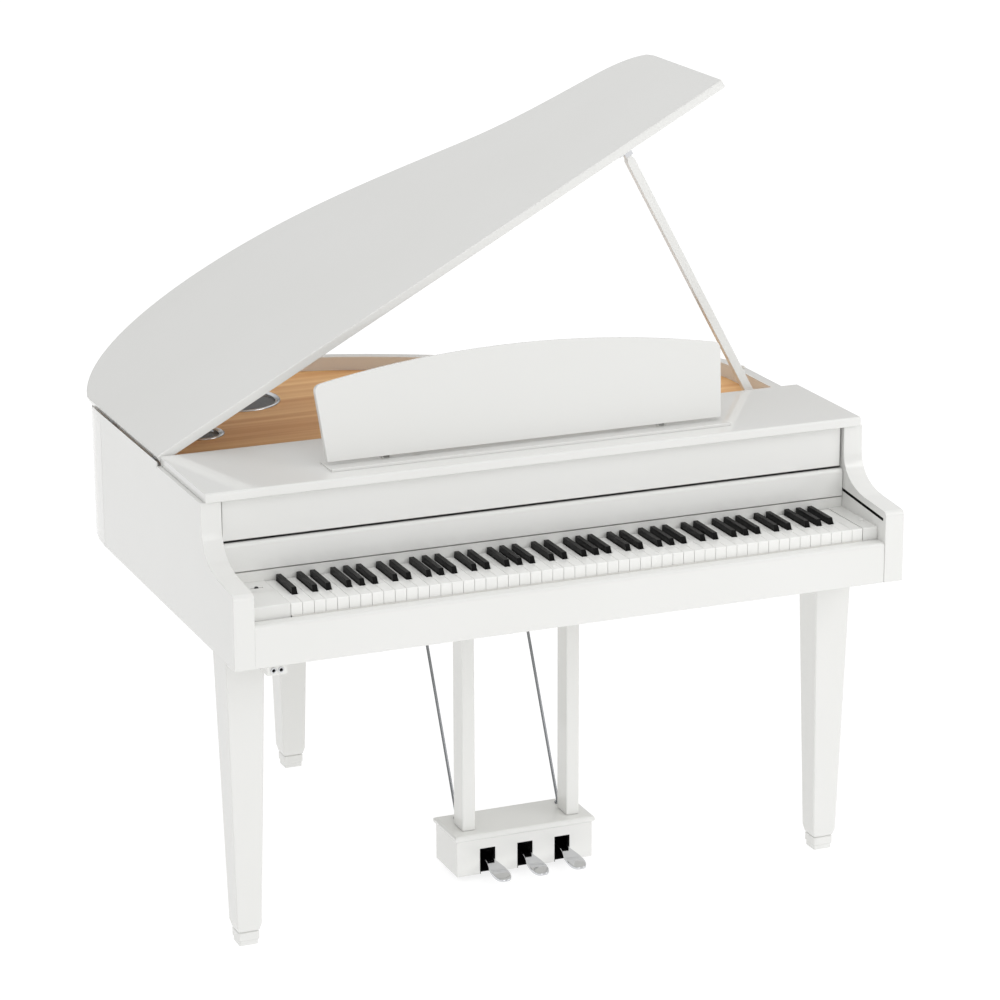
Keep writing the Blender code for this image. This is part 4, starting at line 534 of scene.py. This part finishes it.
# Lid, hinges and prop
# The lid is a lacquered board cut to the rim's outline, hung on two chromed butt hinges with cross-head
# screws. A square lacquered stick, pinned in a chromed bracket, holds it up by a chromed rest.
finished_copy("lid", "lid", lacquer, "white_lacquer")
for end in ("front", "rear"):
    finished_copy(f"{end}_hinge_rim_leaf", "case", chrome, "chrome", 0.0002)
    finished_copy(f"{end}_hinge_lid_leaf", "lid", chrome, "chrome", 0.0002)

# A thin lacquered bead along the left board hides the hinges from the side. It follows the board's curve
# towards the tail, where it runs out to nothing; each station is (place along the board, shift, height).
BEAD_LOW = Vector((-0.71495, -0.1510, 0.9060))
BEAD_HIGH = Vector((-0.7122, 0.2415, 0.9236))
BEAD_OUTER_RISE = 0.0024
BEAD_STATIONS = ((0.2754, 0.0012, 0.0168), (0.3079, 0.0034, 0.0146), (0.3331, 0.0044, 0.0098))
bead = block("hinge_side_bead", BEAD_LOW, BEAD_HIGH, lacquer)
bead_middle = (BEAD_LOW + BEAD_HIGH) / 2
for vertex in bead.data.vertices:
    if vertex.co.x < bead_middle.x and vertex.co.z > bead_middle.z:
        vertex.co.z += BEAD_OUTER_RISE
pick_faces(bead, lambda place, normal: normal.y > 0.9)
reach, height = BEAD_HIGH.y, BEAD_HIGH.z - BEAD_LOW.z
for far, shift, rise in BEAD_STATIONS:
    bpy.ops.mesh.extrude_region_move(TRANSFORM_OT_translate={"value": (shift, far - reach, 0)})
    bpy.ops.transform.resize(value=(1, 1, rise / height), center_override=(0, far, BEAD_LOW.z))
    reach, height = far, rise
bpy.ops.object.mode_set(mode="OBJECT")
finish_edges(bead, 0.0008, 3, 30)
rides(bead, "case", "white_lacquer")

# One cross-head screw is modelled, and every screw is a copy of it
SCREW_PROFILE = ((0.0030, 0.0), (0.0031, 0.0004), (0.0028, 0.0009), (0.0020, 0.0012), (0.0010, 0.0013))
SCREW_SINK = 0.0004
RECESS = (0.0036, 0.0007, 0.0012)
RECESS_HEIGHT = 0.0010
screw_head = turned("screw_model", (0, 0, -SCREW_SINK), SCREW_PROFILE, 24, chrome)
for turn in (0, 90):
    bpy.ops.mesh.primitive_cube_add(size=1, scale=RECESS, location=(0, 0, RECESS_HEIGHT),
                                    rotation=(0, 0, math.radians(turn)))
    slot_cutter = bpy.context.object
    mod = screw_head.modifiers.new("cross_recess", "BOOLEAN")
    mod.object = slot_cutter
    mod.solver = "EXACT"
    apply_all(screw_head)
    bpy.data.objects.remove(slot_cutter)
shade_round(screw_head, 35)

LID_AXIS = Vector((-0.7065, 0, 0.9135))
LID_OPEN = math.radians(28.4)
LEAF_FACE = 0.0020
LEAF_MIDDLE = 0.0066
RIM_SCREW_REACH = 0.022
LID_SCREW_REACH = 0.0055
REST_SCREW = (1.1430, -0.1315, 0.0007)
on_lid = Matrix.Translation(LID_AXIS) @ Matrix.Rotation(-LID_OPEN, 4, "Y")
face_down = Matrix.Rotation(math.pi, 4, "X")
for end in ("front", "rear"):
    middle = middle_of(f"{end}_hinge_rim_leaf").y
    for side, name in ((-1, "fore"), (1, "aft")):
        spot = LID_AXIS + Vector((LEAF_MIDDLE, middle + side * RIM_SCREW_REACH, -LEAF_FACE))
        screw = set_copy(f"{end}_rim_leaf_{name}_screw", screw_head, Matrix.Translation(spot))
        rides(screw, "case", "steel")
        spot = Matrix.Translation((LEAF_MIDDLE, middle + side * LID_SCREW_REACH, LEAF_FACE))
        screw = set_copy(f"{end}_lid_leaf_{name}_screw", screw_head, on_lid @ spot @ face_down)
        rides(screw, "lid", "steel")
finished_copy("prop_stick", "lid_prop", lacquer, "white_lacquer", 0.001)
finished_copy("prop_bracket", "case", chrome, "chrome", 0.0003)
finished_copy("prop_rest", "lid", chrome, "chrome", 0.0003)
screw = set_copy("prop_rest_screw", screw_head, on_lid @ Matrix.Translation(REST_SCREW) @ face_down)
rides(screw, "lid", "steel")

# Rubber buttons
# Four domed buttons of milky rubber, pushed into the rim's top edge. The closed lid comes down on them and
# doesn't knock the lacquer.

# Milky rubber: soft and shineless, a little darker than the lacquer
rubber = mottled_finish("milky_rubber", {"Roughness": 0.6, "Specular IOR Level": 0.3}, "#DEDCD6", "#D2D0CA",
                        0.004, 0.0008, 0.00002)
RIM_TOP = 0.910
BUTTON_PROFILE = (
    (0.0044, 0.0), (0.0052, 0.0006), (0.0052, 0.0046), (0.0047, 0.0058), (0.0036, 0.0063), (0.0012, 0.0064))
BUTTON_SPOTS = ((0.7025, 0.1000), (0.5850, 0.2735), (0.2937, 0.3708), (-0.3100, 0.6060))
(first_x, first_y), *others = BUTTON_SPOTS
button = turned("lid_button_1", (first_x, first_y, RIM_TOP), BUTTON_PROFILE, 32, rubber)
shade_round(button, 30)
rides(button, "case", "white_plastic")
for count, (x, y) in enumerate(others, 2):
    twin = set_copy(f"lid_button_{count}", button, Matrix.Translation((x - first_x, y - first_y, 0)))
    rides(twin, "case", "white_plastic")

# Legs
# Solid posts, planed square and tapered, with a coved collar at the top and a stepped foot. They are
# lacquered loose and bolted to the case.
for node in ("front_left_leg", "front_right_leg", "rear_leg"):
    finished_copy(node, "case", lacquer, "white_lacquer")

# Pedal lyre
# Two lacquered posts on a cross-piece, screwed under the keybed, carry the pedal box with its moulded top.
# Two thin steel rods brace it back to the case.
finished_copy("lyre_frame", "case", lacquer, "white_lacquer")
finished_copy("lyre_box", "case", lacquer, "white_lacquer", 0.0006)

# Satin nickel: a grey metal with a soft highlight along each rod
nickel = mottled_finish("satin_nickel_plate", {"Metallic": 1.0}, "#9C9EA1", "#8E9093", 0.02, 0.001, 0.00001,
                        (0.16, 0.24))
finished_copy("lyre_brace", "case", nickel, "steel")

# A tray of black enamelled steel closes the box behind its front, and black felt lines the three slots. The
# tray's black is painted shade for the dark inside of the box.
TRAY_LOW = (-0.1418, -0.3233, 0.0141)
TRAY_HIGH = (0.1418, -0.2257, 0.0898)
TRAY_SHEET = 0.0010
tray = block("pedal_box_shade_tray", TRAY_LOW, TRAY_HIGH, basket_steel)
hollowed(tray, lambda place, normal: normal.y < -0.9, TRAY_SHEET)
finish_edges(tray, 0.0, 1, 30)
rides(tray, "case", "black_plastic")

SLOT_PITCH = 0.084
SLOT_FELT_LOW = Vector((-0.0169, -0.3334, 0.0141))
SLOT_FELT_HIGH = Vector((0.0169, -0.3236, 0.0699))
SLOT_FELT_THICK = 0.0012
lining = block("middle_slot_felt", SLOT_FELT_LOW, SLOT_FELT_HIGH, felt)
hollowed(lining, lambda place, normal: abs(normal.y) > 0.9 or normal.z < -0.9, SLOT_FELT_THICK)
finish_edges(lining, 0.0003, 2, 30)
rides(lining, "case", "black_plastic")
for name, side in (("left", -1), ("right", 1)):
    twin = set_copy(f"{name}_slot_felt", lining, Matrix.Translation((side * SLOT_PITCH, 0, 0)))
    rides(twin, "case", "black_plastic")
paint("pedal_axle", zinc)

LYRE_SCREWS = (("fore", -0.3010), ("aft", -0.2760))
LYRE_SCREW_X = 0.137
LYRE_SCREW_Z = 0.6247
BRACE_SCREW = (0.0685, 0.0175, 0.6322)
for name, side in (("left", -1), ("right", 1)):
    for end, y in LYRE_SCREWS:
        spot = Matrix.Translation((side * LYRE_SCREW_X, y, LYRE_SCREW_Z))
        rides(set_copy(f"lyre_{name}_{end}_screw", screw_head, spot @ face_down), "case", "steel")
    spot = Matrix.Translation((side * BRACE_SCREW[0], BRACE_SCREW[1], BRACE_SCREW[2]))
    rides(set_copy(f"brace_{name}_screw", screw_head, spot @ face_down), "case", "steel")
bpy.data.objects.remove(screw_head)

# Pedals
# Cast levers, ground smooth and chromed: a straight neck with an eye on the axle, and a spoon-shaped pad for
# the shoe. Each station of a lever is (reach, half width, drop, half thickness).
AXLE_Y = -0.2465
AXLE_Z = 0.0520
AXLE_BORE = 0.0043
EYE_RADIUS = 0.0090
EYE_HALF = 0.0093
EYE_CHAMFER = 0.0006
LEVER_STATIONS = (
    (0.0078, 0.0095, 0.0, 0.0045),
    (0.0920, 0.0095, 0.0063, 0.0045), (0.1080, 0.0106, 0.0079, 0.0045), (0.1260, 0.0150, 0.0098, 0.0045),
    (0.1430, 0.0178, 0.0117, 0.0044), (0.1580, 0.0185, 0.0134, 0.0043), (0.1700, 0.0176, 0.0149, 0.0040),
    (0.1790, 0.0148, 0.0160, 0.0035), (0.1845, 0.0100, 0.0167, 0.0029), (0.1868, 0.0045, 0.0170, 0.0022))
START_LENGTH = 0.002
GROUND_EDGE = 0.0016


def drawn_bar(name, centre, stations, mat):
    """A bar drawn forwards from a short block, station by station, with its edges ground and smoothed."""
    (reach, wide, drop, thick), *others = stations
    bpy.ops.object.select_all(action="DESELECT")
    bpy.ops.mesh.primitive_cube_add(size=1, location=(0, -reach, -drop),
                                    scale=(2 * wide, START_LENGTH, 2 * thick))
    bar = bpy.context.object
    bar.name = name
    bpy.ops.object.transform_apply(location=True, scale=True)
    pick_faces(bar, lambda place, normal: normal.y < -0.9)
    for far, half, fall, half_thick in others:
        bpy.ops.mesh.extrude_region_move(TRANSFORM_OT_translate={"value": (0, reach - far, drop - fall)})
        bpy.ops.transform.resize(value=(half / wide, 1, half_thick / thick), center_override=(0, -far, -fall))
        reach, wide, drop, thick = far, half, fall, half_thick
    bpy.ops.object.mode_set(mode="OBJECT")
    mod = bar.modifiers.new("ground_edges", "BEVEL")
    mod.width = GROUND_EDGE
    mod.segments = 2
    mod.angle_limit = math.radians(40)
    mod = bar.modifiers.new("flowing_shape", "SUBSURF")
    mod.levels = 2
    apply_all(bar)
    bpy.ops.object.shade_smooth()
    bar.location = centre
    bpy.ops.object.transform_apply(location=True)
    bar.data.materials.append(mat)
    return bar


axis = Vector((middle_of("pedal_middle").x, AXLE_Y, AXLE_Z))
lever = drawn_bar("middle_pedal_lever", axis, LEVER_STATIONS, chrome)
rides(lever, "middle_pedal", "chrome", "pedal_middle")
eye = turned("middle_pedal_eye", axis, [
    (AXLE_BORE, -EYE_HALF), (EYE_RADIUS - EYE_CHAMFER, -EYE_HALF), (EYE_RADIUS, EYE_CHAMFER - EYE_HALF),
    (EYE_RADIUS, EYE_HALF - EYE_CHAMFER), (EYE_RADIUS - EYE_CHAMFER, EYE_HALF), (AXLE_BORE, EYE_HALF)],
    48, chrome, True, (0, math.pi / 2, 0))
shade_round(eye, 30)
rides(eye, "middle_pedal", "chrome")
for name in ("left", "right"):
    across = Matrix.Translation((middle_of(f"pedal_{name}").x - axis.x, 0, 0))
    rides(set_copy(f"{name}_pedal_lever", lever, across), f"{name}_pedal", "chrome", f"pedal_{name}")
    rides(set_copy(f"{name}_pedal_eye", eye, across), f"{name}_pedal", "chrome")

# Floor and light
# A pale paper sweep that glows to near white, under a studio sky that is dim along the horizon and bright
# overhead. One wide soft light stands in front, and another at the right.
FLOOR_GLOW = 0.82
FLOOR_RADIUS = 40.0
FLOOR_TOP = -0.0005

# Matt paper: an even white that only takes the soft shadow under the legs
paper = mottled_finish("matt_white_paper", {"Roughness": 0.95, "Specular IOR Level": 0.0,
                                            "Emission Color": (1.0, 1.0, 1.0, 1.0),
                                            "Emission Strength": FLOOR_GLOW},
                       "#939393", "#8F8F8F", 1.0, 0.05, 0.00001)
bpy.ops.object.select_all(action="DESELECT")
bpy.ops.mesh.primitive_circle_add(vertices=96, radius=FLOOR_RADIUS, fill_type="NGON",
                                  location=(0, 0, FLOOR_TOP))
floor = bpy.context.object
floor.name = "studio_floor"
floor.data.materials.append(paper)

SKY_LOW = 0.12
SKY_HIGH = 0.97
sky = bpy.data.worlds.new("studio_sky")
bpy.context.scene.world = sky
sky.use_nodes = True
way = add_node(sky, "TexCoord", {}, {}).outputs["Generated"]
height = add_node(sky, "SeparateXYZ", {}, {"Vector": way}).outputs["Z"]
shade = add_node(sky, "MapRange", {"interpolation_type": "SMOOTHSTEP"}, {
    "Value": height, "From Min": 0.05, "From Max": 0.6, "To Min": SKY_LOW, "To Max": SKY_HIGH})
background = sky.node_tree.nodes["Background"]
sky.node_tree.links.new(shade.outputs["Result"], background.inputs["Strength"])
background.inputs["Color"].default_value = (1.0, 1.0, 1.0, 1.0)

LIGHT_AIM = Vector((0, 0, 0.8))
for name, spot, size, power in (("front_light", (0.0, -7.0, 2.2), 3.0, 60),
                                ("right_light", (3.8, -3.4, 3.0), 2.5, 45)):
    light = bpy.data.lights.new(name, "AREA")
    light.size = size
    light.energy = power
    lamp = bpy.data.objects.new(name, light)
    lamp.location = spot
    lamp.rotation_euler = (LIGHT_AIM - Vector(spot)).to_track_quat("-Z", "Y").to_euler()
    bpy.context.scene.collection.objects.link(lamp)

# Camera
# Stands where the photo was taken from: seven metres in front and to the player's left, over a metre above
# the open lid, with a long lens that looks down on the keys.
CAMERA_SPOT = Vector((-2.665, -6.6415, 2.868))
YAW = math.radians(22.49)
PITCH = math.radians(-16.71)
ROLL = math.radians(-0.21)
FOCAL_SHARE = 3.5398
forward = Vector((math.sin(YAW) * math.cos(PITCH), math.cos(YAW) * math.cos(PITCH), math.sin(PITCH)))
right = Vector((math.cos(YAW), -math.sin(YAW), 0))
up = right.cross(forward)
right, up = (right * math.cos(ROLL) + up * math.sin(ROLL), up * math.cos(ROLL) - right * math.sin(ROLL))
lens = bpy.data.cameras.new("photo_camera")
lens.sensor_width = 36.0
lens.lens = FOCAL_SHARE * lens.sensor_width
camera = bpy.data.objects.new("photo_camera", lens)
camera.location = CAMERA_SPOT
camera.rotation_euler = Matrix((right, up, -forward)).transposed().to_euler()
bpy.context.scene.collection.objects.link(camera)
bpy.context.scene.camera = camera
bpy.context.scene.view_settings.view_transform = "Standard"
